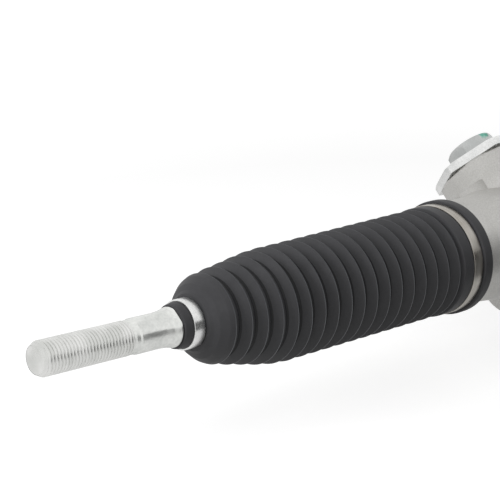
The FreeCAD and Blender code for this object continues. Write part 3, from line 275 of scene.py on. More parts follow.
# %% Bead-blasted cast aluminium
def cast_aluminium():
    material, tree, shader, place = new_material("bead_blasted_cast_aluminium", 0.85, 0.5)
    cloud = add(tree, "ShaderNodeTexNoise", Vector=place, Scale=1 / (22 * MM), Detail=4.0)
    grit = add(tree, "ShaderNodeTexNoise", Vector=place, Scale=1 / (0.7 * MM), Detail=2.0, Roughness=0.7)
    tone = ramp(tree, cloud.outputs["Fac"], [(0.3, "C2C1BE"), (0.7, "D2D1CE")])
    speckle = ramp(tree, grit.outputs["Fac"], [(0.35, "C6C5C2"), (0.65, "FFFFFF")])
    mixed = add(tree, "ShaderNodeMix", {"data_type": "RGBA", "blend_type": "MULTIPLY"}, Factor=0.35)
    tree.links.new(tone, mixed.inputs[6])
    tree.links.new(speckle, mixed.inputs[7])
    tree.links.new(mixed.outputs[2], shader.inputs["Base Color"])
    first = bump(tree, shader, cloud.outputs["Fac"], 0.12, 0.4)
    bump(tree, shader, grit.outputs["Fac"], 0.06, 0.55, first)
    return material


CAST_ALUMINIUM = cast_aluminium()
print("casting", CAST_ALUMINIUM.name)

# %% [markdown]
# Bright zinc plating on steel is a thin silvery coat, brighter than bare steel and a little cloudy.
# Turned and rolled pieces show fine rings round the axis, and forged, ground or plated ones a fine
# even grain. One function makes all of them: the rings come from a noise that is stretched across
# the axis, and the grain from the same noise left as it is.


# %% Zinc plated, rolled and ground steel
RINGS, GRAIN = (1, 0.03, 0.03), (1, 1, 1)
CLOUD_MM = 9.0


def worked_metal(name, colours, roughness, line_mm, squeeze, metallic=1.0, depth_mm=0.01):
    """A metal with tool lines, in rings round X or as a grain, and with large faint clouds."""
    material, tree, shader, place = new_material(name, metallic, roughness)
    mapped = add(tree, "ShaderNodeMapping", Vector=place, Scale=squeeze).outputs["Vector"]
    lines = add(tree, "ShaderNodeTexNoise", Vector=mapped, Scale=1 / (line_mm * MM), Detail=2.0)
    cloud = add(tree, "ShaderNodeTexNoise", Vector=place, Scale=1 / (CLOUD_MM * MM), Detail=3.0)
    both = add(tree, "ShaderNodeMath", {"operation": "MULTIPLY_ADD"}, i0=lines.outputs["Fac"], i1=0.5,
               i2=cloud.outputs["Fac"])
    tone = ramp(tree, both.outputs["Value"], [(0.55, colours[0]), (0.95, colours[1])])
    tree.links.new(tone, shader.inputs["Base Color"])
    dullness = ramp(tree, cloud.outputs["Fac"], [(0.3, roughness - 0.06), (0.7, roughness + 0.08)])
    tree.links.new(dullness, shader.inputs["Roughness"])
    bump(tree, shader, lines.outputs["Fac"], depth_mm, 0.6)
    return material


ZINC_THREAD = worked_metal("zinc_plated_rolled_thread", ("D0D1CE", "E8E8E6"), 0.3, 0.5, RINGS)
ZINC_FORGING = worked_metal("zinc_plated_forging", ("CDCFCC", "EBECE9"), 0.34, 1.2, GRAIN, depth_mm=0.05)
ZINC_STEEL = worked_metal("bright_zinc_plated_steel", ("D6D7D6", "F2F2F1"), 0.26, 0.8, GRAIN)
STAINLESS_STRIP = worked_metal("rolled_stainless_strip", ("9C978F", "B9B6B0"), 0.3, 0.3, RINGS)
GROUND_STEEL = worked_metal("ground_steel", ("A8A8A6", "C4C4C2"), 0.22, 0.3, GRAIN)
BEARING_STEEL = worked_metal("polished_bearing_steel", ("BDBFC1", "D2D3D5"), 0.12, 0.4, GRAIN)
PHOSPHATED_STEEL = worked_metal("phosphated_forged_steel", ("4A4A4A", "5C5C5B"), 0.55, 1.0, GRAIN, 0.8)
SPRING_STEEL = worked_metal("oil_tempered_spring_steel", ("3E3D3C", "55534F"), 0.35, 0.5, GRAIN)
TURNED_ALUMINIUM = worked_metal("turned_aluminium", ("B0B2B1", "C6C8C7"), 0.38, 0.5, GRAIN)
print("materials so far", len(bpy.data.materials))

# %% [markdown]
# The two plastics are inside: the white acetal cup that the ball turns in, the same acetal as the
# liner of the yoke, and the black nylon bush that carries the far end of the rack.


# %% Moulded plastics
def moulded_plastic(name, light, dark, roughness):
    material, tree, shader, place = new_material(name, 0.0, roughness)
    cloud = add(tree, "ShaderNodeTexNoise", Vector=place, Scale=1 / (5 * MM), Detail=3.0)
    tone = ramp(tree, cloud.outputs["Fac"], [(0.3, dark), (0.7, light)])
    tree.links.new(tone, shader.inputs["Base Color"])
    bump(tree, shader, cloud.outputs["Fac"], 0.03, 0.3)
    return material


ACETAL = moulded_plastic("moulded_acetal", "E3DFD3", "D5D0C2", 0.4)
NYLON = moulded_plastic("moulded_nylon", "2B2B2C", "202021", 0.45)
print("plastics", ACETAL.name, NYLON.name)

# %% [markdown]
# The casting and the pieces inside the gear already have the right shape, so they stay and only
# take a finish. This table says which finish each solid gets. A solid that is made again further
# down is in it too, so that nothing is ever left with the plain material of the frame.

# %% Give every solid its finish
FINISHES = {
    "housing": CAST_ALUMINIUM, "rack": GROUND_STEEL, "pinion": GROUND_STEEL,
    "bearing_inner_ring": BEARING_STEEL, "bearing_outer_ring": BEARING_STEEL,
    "bearing_balls": BEARING_STEEL, "bearing_cage": ZINC_STEEL, "shaft_circlip": SPRING_STEEL,
    "bearing_retainer": ZINC_STEEL, "pinion_seal": SOFT_RUBBER, "pinion_dust_cover": SOFT_RUBBER,
    "lower_bearing": BEARING_STEEL, "lower_plug": ZINC_STEEL, "yoke": TURNED_ALUMINIUM,
    "yoke_liner": ACETAL, "yoke_o_ring": SOFT_RUBBER, "yoke_spring": SPRING_STEEL,
    "adjuster_plug": TURNED_ALUMINIUM, "lock_nut": ZINC_STEEL, "rack_bush": NYLON,
    "bush_circlip": SPRING_STEEL, "saddle_rubber": SOFT_RUBBER, "ear_rubbers": SOFT_RUBBER,
    "ear_sleeves": ZINC_STEEL,
}
for end in ("near", "far"):
    FINISHES.update({
        f"{end}_socket": PHOSPHATED_STEEL, f"{end}_ball_seat": ACETAL,
        f"{end}_lock_washer": ZINC_STEEL, f"{end}_tie_rod": ZINC_FORGING,
        f"{end}_bellows": BELLOWS_RUBBER, f"{end}_large_clamp": STAINLESS_STRIP,
        f"{end}_small_clamp": ZINC_STEEL,
    })


def finish(piece, material):
    piece.data.materials.clear()
    piece.data.materials.append(material)
    return piece


for node, material in FINISHES.items():
    finish(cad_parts[node], material)
print("solids without a finish:", sorted(set(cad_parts) - set(FINISHES)))

# %% [markdown]
# The bellows. On the real gear it is blown or moulded in one piece: a plain cuff on the tie rod,
# a smooth cone, five folds that grow and thirteen that are nearly alike, a band seat and a thick
# lip on the casting. Its outline is drawn as corners with a radius each, small on the crests and
# larger in the valleys, and then spun. The inside has no folds. It keeps a millimetre or a little
# more from the deepest valleys, which leaves the rod the room that it needs when it swings.

# %% Outline of the bellows
BOOT_CUFF = [(90.0, 7.6, 0.2), (90.0, 9.0, 0.8), (86.4, 9.6, 0.3), (80.5, 9.6, 0.2),
             (80.3, 11.7, 0.7), (79.0, 13.0, 0.8), (77.6, 15.4, 1.6), (74.4, 17.9, 2.4)]
NOSE_CRESTS = [(72.0, 18.9), (64.6, 20.5), (57.2, 21.8), (49.8, 23.2), (42.4, 24.4)]
BODY_CRESTS = [(-60.0 + 7.92 * i, 25.9 - 0.075 * i) for i in reversed(range(13))]
BOOT_ROOT = [(-61.7, 22.6, 0.8), (-63.2, 25.9, 0.9), (-69.5, 25.9, 0.4), (-69.6, 25.5, 0.1),
             (-76.2, 25.5, 0.1), (-76.3, 27.4, 1.2), (-82.5, 27.4, 1.6), (-82.5, 23.05, 0.2)]
CREST_RADIUS, VALLEY_RADIUS = 0.75, 1.2
SHALLOW_FOLDS, SHALLOW_DEPTH, MIDDLE_DEPTH, BODY_DEPTH = 4, 3.2, 4.2, 5.2


def bellows_corners():
    """Corners of the outside, from the cuff to the lip, and the place of every valley."""
    corners, valleys = list(BOOT_CUFF), []
    crests = NOSE_CRESTS + BODY_CRESTS
    for number, (z, r) in enumerate(crests):
        corners.append((z, r, CREST_RADIUS))
        if number + 1 < len(crests):
            next_z, next_r = crests[number + 1]
            depth = BODY_DEPTH
            if number < SHALLOW_FOLDS:
                depth = SHALLOW_DEPTH
            elif number == SHALLOW_FOLDS:
                depth = MIDDLE_DEPTH
            valleys.append((z + next_z) / 2)
            corners.append((valleys[-1], (r + next_r) / 2 - depth, VALLEY_RADIUS))
    return corners + BOOT_ROOT, valleys


corners, valleys = bellows_corners()
outside = rounded(corners)[::-1]
inside = [(90.0, 7.6), (79.9, 7.6), (78.7, 10.6), (75.0, 14.2), (68.3, 15.3), (60.9, 16.75),
          (53.5, 18.1), (46.1, 19.3), (42.4, 20.2), (38.7, 19.3), (35.0, 19.9), (31.08, 18.7),
          (-60.0, 18.6), (-64.8, 23.05), (-82.5, 23.05)]
print("folds", len(NOSE_CRESTS + BODY_CRESTS), "points on the outside", len(outside))

# %% [markdown]
# When the rack slides, the folds close on one side of the car and open on the other, and when the rod
# swings, the small end swings with it. A piece can blend between two bodies only, so the bellows is cut
# into four pieces that meet in valleys. For the first three, each one's share of the travel is worked out
# further down, but it is not used, and no piece is tied to a body.

# %% Cut the bellows where the motion changes
SEAMS = [-82.5, -48.12, 23.16, 31.08, 90.0]
AROUND = 128
CREST_LINE, VALLEY_BAND = 0.2, 1.1


def easing_inverse(share):
    """Where an ease-in, ease-out curve from 0 to 1 reaches a share."""
    return 0.5 - math.sin(math.asin(1 - 2 * share) / 3)


def finish_number(z):
    """Which finish the outside has at a place: 0 plain, 1 a crest with painted highlight, 2 a valley with
    painted shade.
    """
    in_folds = valleys[-1] - 1 < z < valleys[0] + 1
    if in_folds and min(abs(z - valley) for valley in valleys) < VALLEY_BAND:
        return 2
    if min(abs(z - crest) for crest, _ in NOSE_CRESTS + BODY_CRESTS) < CREST_LINE:
        return 1
    return 0


def bellows_part(end, name, low, high):
    """The part of the bellows between two places along the rod, outside and inside."""
    outer = [p for p in outside if low - 0.01 <= p[0] <= high + 0.01]
    inner = []
    for (z1, r1), (z2, r2) in zip(inside, inside[1:]):
        for z, r in ((z1, r1), (z2, r2)):
            if low <= z <= high and (z, r) not in inner:
                inner.append((z, r))
        for cut in (high, low):
            if min(z1, z2) < cut < max(z1, z2):
                inner.append((cut, r1 + (r2 - r1) * (cut - z1) / (z2 - z1)))
    inner.sort(key=lambda p: -p[0])
    piece = spin(f"{end}_{name}", outer + [Vector(p) for p in inner], FRAMES[end], True, AROUND)
    finish(piece, BELLOWS_RUBBER)
    # The second and third finishes are the painted crest highlight and the painted valley shade.
    piece.data.materials.append(CREST_HIGHLIGHT_RUBBER)
    piece.data.materials.append(VALLEY_SHADE_RUBBER)
    for i in range(len(outer) - 1):
        number = finish_number((outer[i][0] + outer[i + 1][0]) / 2)
        for face in piece.data.polygons[i * AROUND:(i + 1) * AROUND]:
            face.material_index = number
    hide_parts(f"{end}_bellows")
    return piece


print("a bellows is cut at", SEAMS)

# %% [markdown]
# The rod rests a little raised, and rubber gives way gradually. So the nose is bent from the seam to its
# cuff along a curve that starts and ends gently, the same curve that a blend between two bodies follows.

# %% Make the four pieces and bend the nose
SHARES = [0.0, 0.1, 0.94, 1.0]
STRETCH_START, BEND_END, LIFT_END = -62.0, 64.0, 77.0


def lift_nose(piece):
    """Bends the nose of the near bellows up at rest, little by little, to where the rod points."""
    pivot = FRAMES["near"].translation
    for vertex in piece.data.vertices:
        along = (pivot.x - vertex.co.x) / MM
        t = min(max((along - SEAMS[3]) / (LIFT_END - SEAMS[3]), 0), 1)
        turn = Matrix.Rotation(NEAR_RISE * t * t * (3 - 2 * t), 3, "Y")
        vertex.co = pivot + turn @ (vertex.co - pivot)


for end in ("near", "far"):
    along = FRAMES[end]
    for number, name in enumerate(("bellows_root", "bellows_body", "bellows_front")):
        piece = bellows_part(end, name, SEAMS[number], SEAMS[number + 1])
        low, high = max(SEAMS[number], STRETCH_START), SEAMS[number + 1]
        t1, t2 = easing_inverse(SHARES[number]), easing_inverse(SHARES[number + 1])
        per_share = (high - low) / (t2 - t1)
        start = along @ Vector((0, 0, (low - t1 * per_share) * MM))
        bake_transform(piece)
    nose = bellows_part(end, "bellows_nose", SEAMS[3], SEAMS[4])
    if end == "near":
        lift_nose(nose)
    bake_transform(nose)

# %% [markdown]
# The tie rod is forged, turned, pressed flat on two sides for a spanner, and its thread is rolled.
# Seen close, the two flats run out in curved edges, and the thread is one long spiral, not a stack
# of rings. So the shank is a grid whose radius is the smaller of the round bar and the flats, and
# the thread follows its helix. Inside the bellows the bar has a slim waist, which nobody sees but
# which keeps it clear of the folds.

# %% Shank with its spanner flats
BALL_RADIUS, BALL_END = 11.0, 9.1
SHANK = [(-BALL_RADIUS, 0.0), (9.2, 6.0), (58.0, 6.0, 3), (66.0, 7.25, 3), (75.6, 7.25, 1), (77.6, 8.0, 1),
         (79.6, 8.0, 0.2), (79.6, 7.4, 0.2), (90.4, 7.4, 0.2), (90.4, 8.25, 0.3), (91.2, 8.25, 0.6),
         (94.2, 7.55, 4), (97.8, 7.25, 3), (109.8, 7.25, 0.5), (110.6, 6.9, 0.5),
         (112.2, 6.85, 0.5), (113.4, 6.3)]
FLAT_HALF, FLAT_START, FLAT_END, FLAT_RUNOUT = 6.3, 93.6, 107.2, 5.0
FLAT_TURN = math.radians(-40)
FLATS_BEGIN = 85.0


def shank_radius(z, angle):
    """Radius of the shank at a place along it and an angle, with the flats pressed in."""
    for (z1, r1), (z2, r2) in zip(SHANK_LINE, SHANK_LINE[1:]):
        if z1 <= z <= z2 and z2 > z1:
            round_radius = r1 + (r2 - r1) * (z - z1) / (z2 - z1)
            break
    else:
        round_radius = SHANK_LINE[-1][1]
    outside_flat = max(FLAT_START - z, z - FLAT_END, 0)
    lift = FLAT_RUNOUT - math.sqrt(max(FLAT_RUNOUT ** 2 - outside_flat ** 2, 0))
    if outside_flat >= FLAT_RUNOUT:
        return round_radius
    facing = abs(math.cos(angle - FLAT_TURN))
    return min(round_radius, (FLAT_HALF + lift) / max(facing, 0.1))


ball_angles = [math.radians(2 + i * 5.4) for i in range(27)]
ball = [(-BALL_RADIUS * math.cos(a), BALL_RADIUS * math.sin(a)) for a in ball_angles]
SHANK_LINE = [p for p in ball if p[0] < BALL_END] + [tuple(p) for p in rounded(SHANK)[1:]]
SHANK_RADII = dict(SHANK_LINE)


def shank(end):
    """The whole rod from its ball to the start of the thread."""
    verts = []
    for z, _ in SHANK_LINE:
        for j in range(AROUND):
            angle = 2 * math.pi * j / AROUND
            radius = shank_radius(z, angle) if z > FLATS_BEGIN else SHANK_RADII[z]
            verts.append((radius * math.cos(angle), radius * math.sin(angle), z))
    faces = []
    for i in range(len(SHANK_LINE) - 1):
        for j in range(AROUND):
            k = (j + 1) % AROUND
            low, high = i * AROUND, (i + 1) * AROUND
            faces.append((low + j, low + k, high + k, high + j))
    return make_object(f"{end}_shank", verts, faces, FRAMES[f"{end}_rod"])


print("shank from", round(SHANK_LINE[0][0], 1), "to", round(SHANK_LINE[-1][0], 1), "mm from the ball")

# %% [markdown]
# A rolled M14 thread has a pitch of 1.5 mm, and its crests are rounded by the rolls. The surface is
# a strip that follows the helix: at each angle the crest has moved on by its share of the pitch.
# At both ends the strip is held below a cone. The one at the tip is the chamfer that starts the
# nut, and a turned cap closes it.

# %% Thread of the tie rod
THREAD_START, THREAD_END, PITCH = 112.9, 154.75, 1.5
TIP_RADIUS, TIP_SLOPE = 5.7, 0.6
ROOT_RADIUS, ROOT_SLOPE = 6.2, 1.2
THREAD_FORM = [(0.0, 6.5), (0.06, 6.5), (0.12, 6.56), (0.25, 6.9), (0.32, 6.98), (0.56, 7.0),
               (0.80, 6.98), (0.87, 6.9), (0.97, 6.56)]


def thread(end, steps=96):
    """Helical strip of the thread form, between the shank and the cap of the tip."""
    turns = int((THREAD_END - THREAD_START) / PITCH) + 2
    line = [(turn + part, radius) for turn in range(turns) for part, radius in THREAD_FORM]
    verts = []
    for place_in_turns, radius in line:
        for j in range(steps):
            angle = 2 * math.pi * j / steps
            z = THREAD_START + (place_in_turns + j / steps - 1) * PITCH
            low_cone = ROOT_RADIUS + max(z - THREAD_START, 0) * ROOT_SLOPE
            tip_cone = TIP_RADIUS + max(THREAD_END - z, 0) * TIP_SLOPE
            z = min(max(z, THREAD_START), THREAD_END)
            held = min(radius, low_cone, tip_cone)
            verts.append((held * math.cos(angle), held * math.sin(angle), z))
    faces = []
    for i in range(len(line) - 1):
        for j in range(steps - 1):
            low, high = i * steps, (i + 1) * steps
            faces.append((low + j, low + j + 1, high + j + 1, high + j))
        # The last facet of a turn meets the first one of the turn above it.
        above = i + len(THREAD_FORM)
        if above + 1 < len(line):
            faces.append((i * steps + steps - 1, above * steps, (above + 1) * steps,
                          (i + 1) * steps + steps - 1))
    return make_object(f"{end}_thread", verts, faces, FRAMES[f"{end}_rod"])


def thread_tip(end, length=1.5):
    """The turned chamfer and face that close the thread."""
    outline = [(THREAD_END - length, TIP_RADIUS + length * TIP_SLOPE), (THREAD_END, TIP_RADIUS, 0.5),
               (THREAD_END, 0.0)]
    return spin(f"{end}_thread_tip", rounded(outline), FRAMES[f"{end}_rod"])


for end in ("near", "far"):
    for piece, material in ((shank(end), ZINC_FORGING), (thread(end), ZINC_THREAD),
                            (thread_tip(end), ZINC_THREAD)):
        finish(piece, material)
        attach(piece, f"{end}_tie_rod")
        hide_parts(f"{end}_tie_rod")
print("thread turns", int((THREAD_END - THREAD_START) / PITCH))

# %% [markdown]
# Two bands hold each bellows. The large one, on the casting, is plain stainless strip; the small
# one, on the rod, is a little thicker and brighter. Both are closed by an ear that pliers crimp.
# The ear is hollow: a folded strip, drawn as the outline of that fold and given its width.

# %% Bands and their crimped ears
BANDS = {
    "large_clamp": {"radius": 25.55, "wall": 0.6, "low": -75.9, "high": -69.9,
                    "slot": "band_steel", "finish": STAINLESS_STRIP},
    "small_clamp": {"radius": 9.65, "wall": 0.7, "low": 80.7, "high": 86.2,
                    "slot": "zinc_steel", "finish": ZINC_STEEL},
}
EAR_MARGIN = 0.3


def extrude(name, outline, low, high, place, ease=0.25):
    """A flat outline of (x, y) points given a width along the frame's Z, with eased edges."""
    centre = sum((Vector(p) for p in outline), Vector((0, 0))) / len(outline)
    rows = [(low, ease), (low + ease, 0), (high - ease, 0), (high, ease)]
    count = len(outline)
    verts = []
    for z, shrink in rows:
        for p in outline:
            inward = (centre - Vector(p)).normalized() * shrink
            verts.append((p[0] + inward.x, p[1] + inward.y, z))
    faces = [tuple(range(count))[::-1], tuple(range(3 * count, 4 * count))]
    for i in range(3):
        for j in range(count):
            k = (j + 1) % count
            faces.append((i * count + j, i * count + k, (i + 1) * count + k, (i + 1) * count + j))
    return make_object(name, verts, faces, place, smooth=False)


def folded_ear(radius, wall):
    """The closed outline of a strip folded up into an ear, lying on a band of that radius."""
    line = [(-6.5, 0.2), (-3.6, 0.7), (-3.1, 1.3), (-2.2, 2.5), (2.2, 2.5), (3.1, 1.3), (3.6, 0.7),
            (6.5, 0.2)]
    foot = [(x, math.sqrt(radius ** 2 - x * x) + y) for x, y in line]
    half = wall / 2
    return [(x, y + half) for x, y in foot] + [(x, y - half) for x, y in reversed(foot)]


for end in ("near", "far"):
    for kind, b in BANDS.items():
        top, low, high = b["radius"] + b["wall"], b["low"], b["high"]
        outline = [(low, top, 0.22), (high, top, 0.22), (high, b["radius"], 0.1),
                   (low, b["radius"], 0.1)]
        on_rod = kind == "small_clamp"
        place = FRAMES[f"{end}_rod" if on_rod else end]
        band = spin(f"{end}_{kind}_band", rounded(outline, True, 4), place, True)
        ear = extrude(f"{end}_{kind}_ear", folded_ear(top, b["wall"]), low + EAR_MARGIN,
                      high - EAR_MARGIN, place)
        for piece in (band, ear):
            finish(piece, b["finish"])
            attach(piece, f"{end}_tie_rod" if on_rod else "housing")
            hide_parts(f"{end}_{kind}")

# %% [markdown]
# The yoke's adjuster and its lock nut are the two hexagons on the casting. Both are turned from
# hexagon bar, so the lathe takes the corners off at thirty degrees and each face ends in a curve.
# That curve comes by itself when a hexagon's radius is held below the radius of the turned cone.

# %% Hexagons of the adjuster
EDGE, CORNER_CUT = 0.2, 0.3


def hexagon_bar(name, across, low, high, bore, turn, cone, material, node):
    """A hexagon with its top corners turned off by a cone: (its radius at the top, its slope)."""
    steps, top_radius, slope = 240, *cone
    corner = across / math.sqrt(3) - CORNER_CUT
    side = high - low - 2 * EDGE
    # The rows lie closer together towards the top, where the faces end in curves.
    heights = [low, low + EDGE] + [high - side * (1 - i / 9) ** 2 for i in range(1, 9)] + [high]
    verts = []
    for z in heights:
        inset = EDGE if z in (low, high) else 0.0
        limit = min(corner, top_radius + (high - z) * slope)
        for j in range(steps):
            from_flat = (2 * math.pi * j / steps) % (math.pi / 3) - math.pi / 6
            radius = min((across / 2 - inset) / math.cos(from_flat), limit)
            angle = turn + 2 * math.pi * j / steps
            verts.append((radius * math.cos(angle), radius * math.sin(angle), z))
    for z in (high, low):
        for j in range(steps):
            angle = turn + 2 * math.pi * j / steps
            verts.append((bore * math.cos(angle), bore * math.sin(angle), z))
    rows = len(heights) + 2
    faces = []
    for i in range(rows):
        for j in range(steps):
            k, below, above = (j + 1) % steps, i * steps, (i + 1) % rows * steps
            faces.append((below + j, below + k, above + k, above + j))
    piece = finish(make_object(name, verts, faces, FRAMES["yoke"], smooth=False), material)
    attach(piece, "housing")
    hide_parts(node)


NUT_TOP = 46.15
hexagon_bar("nut_hexagon", 46.5, 41.55, NUT_TOP, 18.25, math.radians(2.4), (25.0, 1.7),
            ZINC_STEEL, "lock_nut")
hexagon_bar("plug_hexagon", 24.0, NUT_TOP, 55.2, 0.0, math.radians(26), (11.7, 1.0),
            TURNED_ALUMINIUM, "adjuster_plug")
barrel_line = [(37.1, 0.0), (37.1, 8.0), (27.1, 8.0), (27.1, 17.2), (28.1, 18.2), (45.6, 18.2),
               (NUT_TOP, 17.7), (NUT_TOP, 0.0)]
barrel = finish(spin("plug_barrel", barrel_line, FRAMES["yoke"]), TURNED_ALUMINIUM)
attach(barrel, "housing")
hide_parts("adjuster_plug")
print("hexagons made")

# %% [markdown]
# An inspector dabs green paint on the adjuster once it is set. The dab is part of the finish: the
# colour turns to paint near one spot, at a distance that a noise makes uneven, and the metal under
# it stops being a metal.


# %% Inspector's paint on the hexagons
def paint_dab(piece, material, spot, radius, colour, cover):
    """A copy of a finish with paint round a spot given in the frame of the yoke, in millimetres."""
    painted = material.copy()
    painted.name = f"{material.name}_with_paint_dab"
    tree = painted.node_tree
    shader = tree.nodes["Principled BSDF"]
    centre = FRAMES["yoke"] @ (Vector(spot) * MM)
    place = add(tree, "ShaderNodeTexCoord").outputs["Object"]
    away = add(tree, "ShaderNodeVectorMath", {"operation": "DISTANCE"}, i0=place, i1=centre)
    ragged = add(tree, "ShaderNodeTexNoise", Vector=place, Scale=1 / (1.6 * MM), Detail=2.0)
    edge = add(tree, "ShaderNodeMath", {"operation": "MULTIPLY_ADD"}, i0=ragged.outputs["Fac"],
               i1=0.8 * radius * MM, i2=away.outputs["Value"])
    inside_dab = add(tree, "ShaderNodeMapRange", Value=edge.outputs["Value"],
                     From_Min=1.5 * radius * MM, From_Max=1.1 * radius * MM,
                     To_Max=cover).outputs["Result"]
    blend = add(tree, "ShaderNodeMix", {"data_type": "RGBA"}, Factor=inside_dab)
    tree.links.new(shader.inputs["Base Color"].links[0].from_socket, blend.inputs[6])
    blend.inputs[7].default_value = linear(colour)
    tree.links.new(blend.outputs[2], shader.inputs["Base Color"])
    metal_left = add(tree, "ShaderNodeMath", {"operation": "SUBTRACT"}, i0=1.0, i1=inside_dab)
    tree.links.new(metal_left.outputs["Value"], shader.inputs["Metallic"])
    finish(piece, painted)


paint_dab(bpy.data.objects["plug_hexagon"], TURNED_ALUMINIUM, (-0.9, -12.5, 54.2), 3.0, "3E9C86", 0.9)
paint_dab(bpy.data.objects["nut_hexagon"], ZINC_STEEL, (6.0, -24.0, 44.0), 9.0, "8FB5AB", 0.7)
print("painted", [m.name for m in bpy.data.materials if "paint_dab" in m.name])

# %% [markdown]
# The mountings and the covers are rubber too, moulded with soft edges. The two ears of the casting
# hold rubber bushes with a groove moulded in each end face, which makes them softer along the bolt.
# The far mounting is a split rubber sleeve with ribs that bite the strap.


# %% Rubber of the mountings
def rubber(name, corners, place, node):
    """A spun rubber piece with a closed outline, fixed to the casting."""
    piece = spin(name, rounded(corners, True, 4), place, True)
    finish(piece, SOFT_RUBBER)
    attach(piece, "housing")
    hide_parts(node)


for side in ("front", "rear"):
    rubber(f"{side}_ear_rubber", [
        (-17.0, 11.9, 0.5), (-17.0, 12.96, 0.5), (17.0, 12.96, 0.5), (17.0, 11.9, 0.5),
        (14.2, 11.5, 0.6), (14.2, 10.4, 0.6), (17.0, 10.1, 0.4), (17.0, 9.02, 0.2),
        (-17.0, 9.02, 0.2), (-17.0, 10.1, 0.4), (-14.2, 10.4, 0.6), (-14.2, 11.5, 0.6)],
        FRAMES[f"{side}_ear"], "ear_rubbers")
saddle = [(243.0, 21.05, 0.3), (243.0, 28.5, 1.2), (248.0, 28.5, 1.0), (248.4, 25.5, 0.6)]
RIBS, FIRST_RIB, RIB_PITCH = 6, 250.6, 3.9
for rib in range(RIBS):
    start = FIRST_RIB + RIB_PITCH * rib
    saddle += [(start, 25.5, 0.3), (start + 0.3, 24.7, 0.3), (start + 1.4, 24.7, 0.3),
               (start + 1.7, 25.5, 0.3)]
saddle += [(275.6, 25.5, 0.6), (276.0, 28.5, 1.0), (281.0, 28.5, 1.2), (281.0, 21.05, 0.3)]
rubber("saddle_sleeve", saddle, FRAMES["rack"], "saddle_rubber")

# %% [markdown]
# A cap of rubber keeps the road's dirt off the pinion, and a lip seal lies under it. The yoke has a
# round ring in a groove, which lets it slide but not rattle. All three are thin, so their outlines
# are drawn all round, with the lips that a plain solid leaves out.

# %% Cap, lip seal and ring
rubber("pinion_cap", [
    (30.5, 22.65, 0.3), (30.5, 24.25, 0.6), (32.2, 24.25, 0.5), (32.7, 23.6, 0.4), (35.9, 23.6, 0.4),
    (36.4, 24.2, 0.6), (38.2, 24.2, 1.3), (40.2, 20.2, 1.2), (40.4, 18.6, 0.8), (42.4, 14.8, 1.0),
    (42.6, 13.2, 0.8), (44.5, 11.0, 1.2), (44.5, 8.2, 0.5), (42.9, 8.2, 0.3), (42.9, 9.8, 0.6),
    (36.6, 18.5, 0.6), (36.6, 22.65, 0.3)], FRAMES["pinion"], "pinion_dust_cover")
rubber("pinion_lip_seal", [
    (31.02, 8.84, 0.3), (31.02, 13.97, 0.3), (35.0, 13.97, 0.4), (35.0, 9.64, 0.5),
    (33.42, 9.64, 0.4), (32.62, 8.04, 0.2)], FRAMES["pinion"], "pinion_seal")
RING_Z, RING_RADIUS, CORD_RADIUS, RING_FACETS = 21.5, 14.97, 1.05, 20
ring_angles = [2 * math.pi * i / RING_FACETS for i in range(RING_FACETS)]
ring_line = [(RING_Z - CORD_RADIUS * math.cos(a), RING_RADIUS + CORD_RADIUS * math.sin(a))
             for a in ring_angles]
ring = finish(spin("yoke_ring", ring_line, FRAMES["yoke"], True), SOFT_RUBBER)
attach(ring, "housing")
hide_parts("yoke_o_ring")
print("cap, lip seal and", ring.name)

# %% [markdown]
# The steering column grips the pinion on fine straight teeth, rolled into its end. They are far
# finer than the gear teeth, so the solid has a plain bar there, and the teeth are laid on it: a star
# outline drawn along the shaft, tapered where the rolling runs out.


# %% Serrations of the pinion's end
def serrations(name, low, high, root=7.5, depth=0.22, teeth=40, runout=0.8, lift=0.005):
    """Straight teeth between two places along the shaft, lifted a hair off the solid's bar."""
    rows = [(low, 0.0), (low + runout, 1.0), (high - runout, 1.0), (high, 0.0)]
    count = teeth * 4
    verts = []
    for z, share in rows:
        for j in range(count):
            angle = 2 * math.pi * j / count
            radius = root + (depth * share if j % 4 in (1, 2) else 0.0) + lift
            verts.append((radius * math.cos(angle), radius * math.sin(angle), z))
    faces = []
    for i in range(3):
        for j in range(count):
            k = (j + 1) % count
            faces.append((i * count + j, i * count + k, (i + 1) * count + k, (i + 1) * count + j))
    piece = finish(make_object(name, verts, faces, FRAMES["pinion"], smooth=False), GROUND_STEEL)
    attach(piece, "pinion")


serrations("pinion_serrations_low", 60.6, 77.8)
serrations("pinion_serrations_high", 84.2, 90.8)
print("serrations on the pinion")

# %% [markdown]
# The photograph is a catalogue picture: white all round, a broad soft light from above, and a faint
# shadow. So the floor is a large pale sheet that looks brighter to the camera than its light makes
# it, more so far away, and the shadow stays visible near the gear. It lies 20 mm below the gear,
# so that a rod can swing down without going through it.

# %% Floor
FLOOR_REACH, SWING_ROOM = 2.2, 0.02
low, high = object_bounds()

FLOOR_TOP = solid_box[0].z - SWING_ROOM
floor_mesh = bpy.data.meshes.new("floor")
floor_corners = [(FLOOR_REACH * x, FLOOR_REACH * y, FLOOR_TOP)
                 for x, y in ((-1, -1), (1, -1), (1, 1), (-1, 1))]
floor_mesh.from_pydata(floor_corners, [], [(0, 1, 2, 3)])
floor = bpy.data.objects.new("floor", floor_mesh)
scene.collection.objects.link(floor)
floor_paint, tree, shader, place = new_material("white_paper", 0.0, 0.9, "BEBEBE")
shader.inputs["Emission Color"].default_value = (1, 1, 1, 1)
rays = add(tree, "ShaderNodeLightPath")
mirrored = add(tree, "ShaderNodeMath", {"operation": "MULTIPLY"}, i0=rays.outputs["Is Glossy Ray"],
               i1=0.4)
away = add(tree, "ShaderNodeVectorMath", {"operation": "LENGTH"}, i0=place)
paper_glow = add(tree, "ShaderNodeMapRange", Value=away.outputs["Value"], From_Min=0.5, From_Max=1.3,
                 To_Min=0.7, To_Max=1.0)
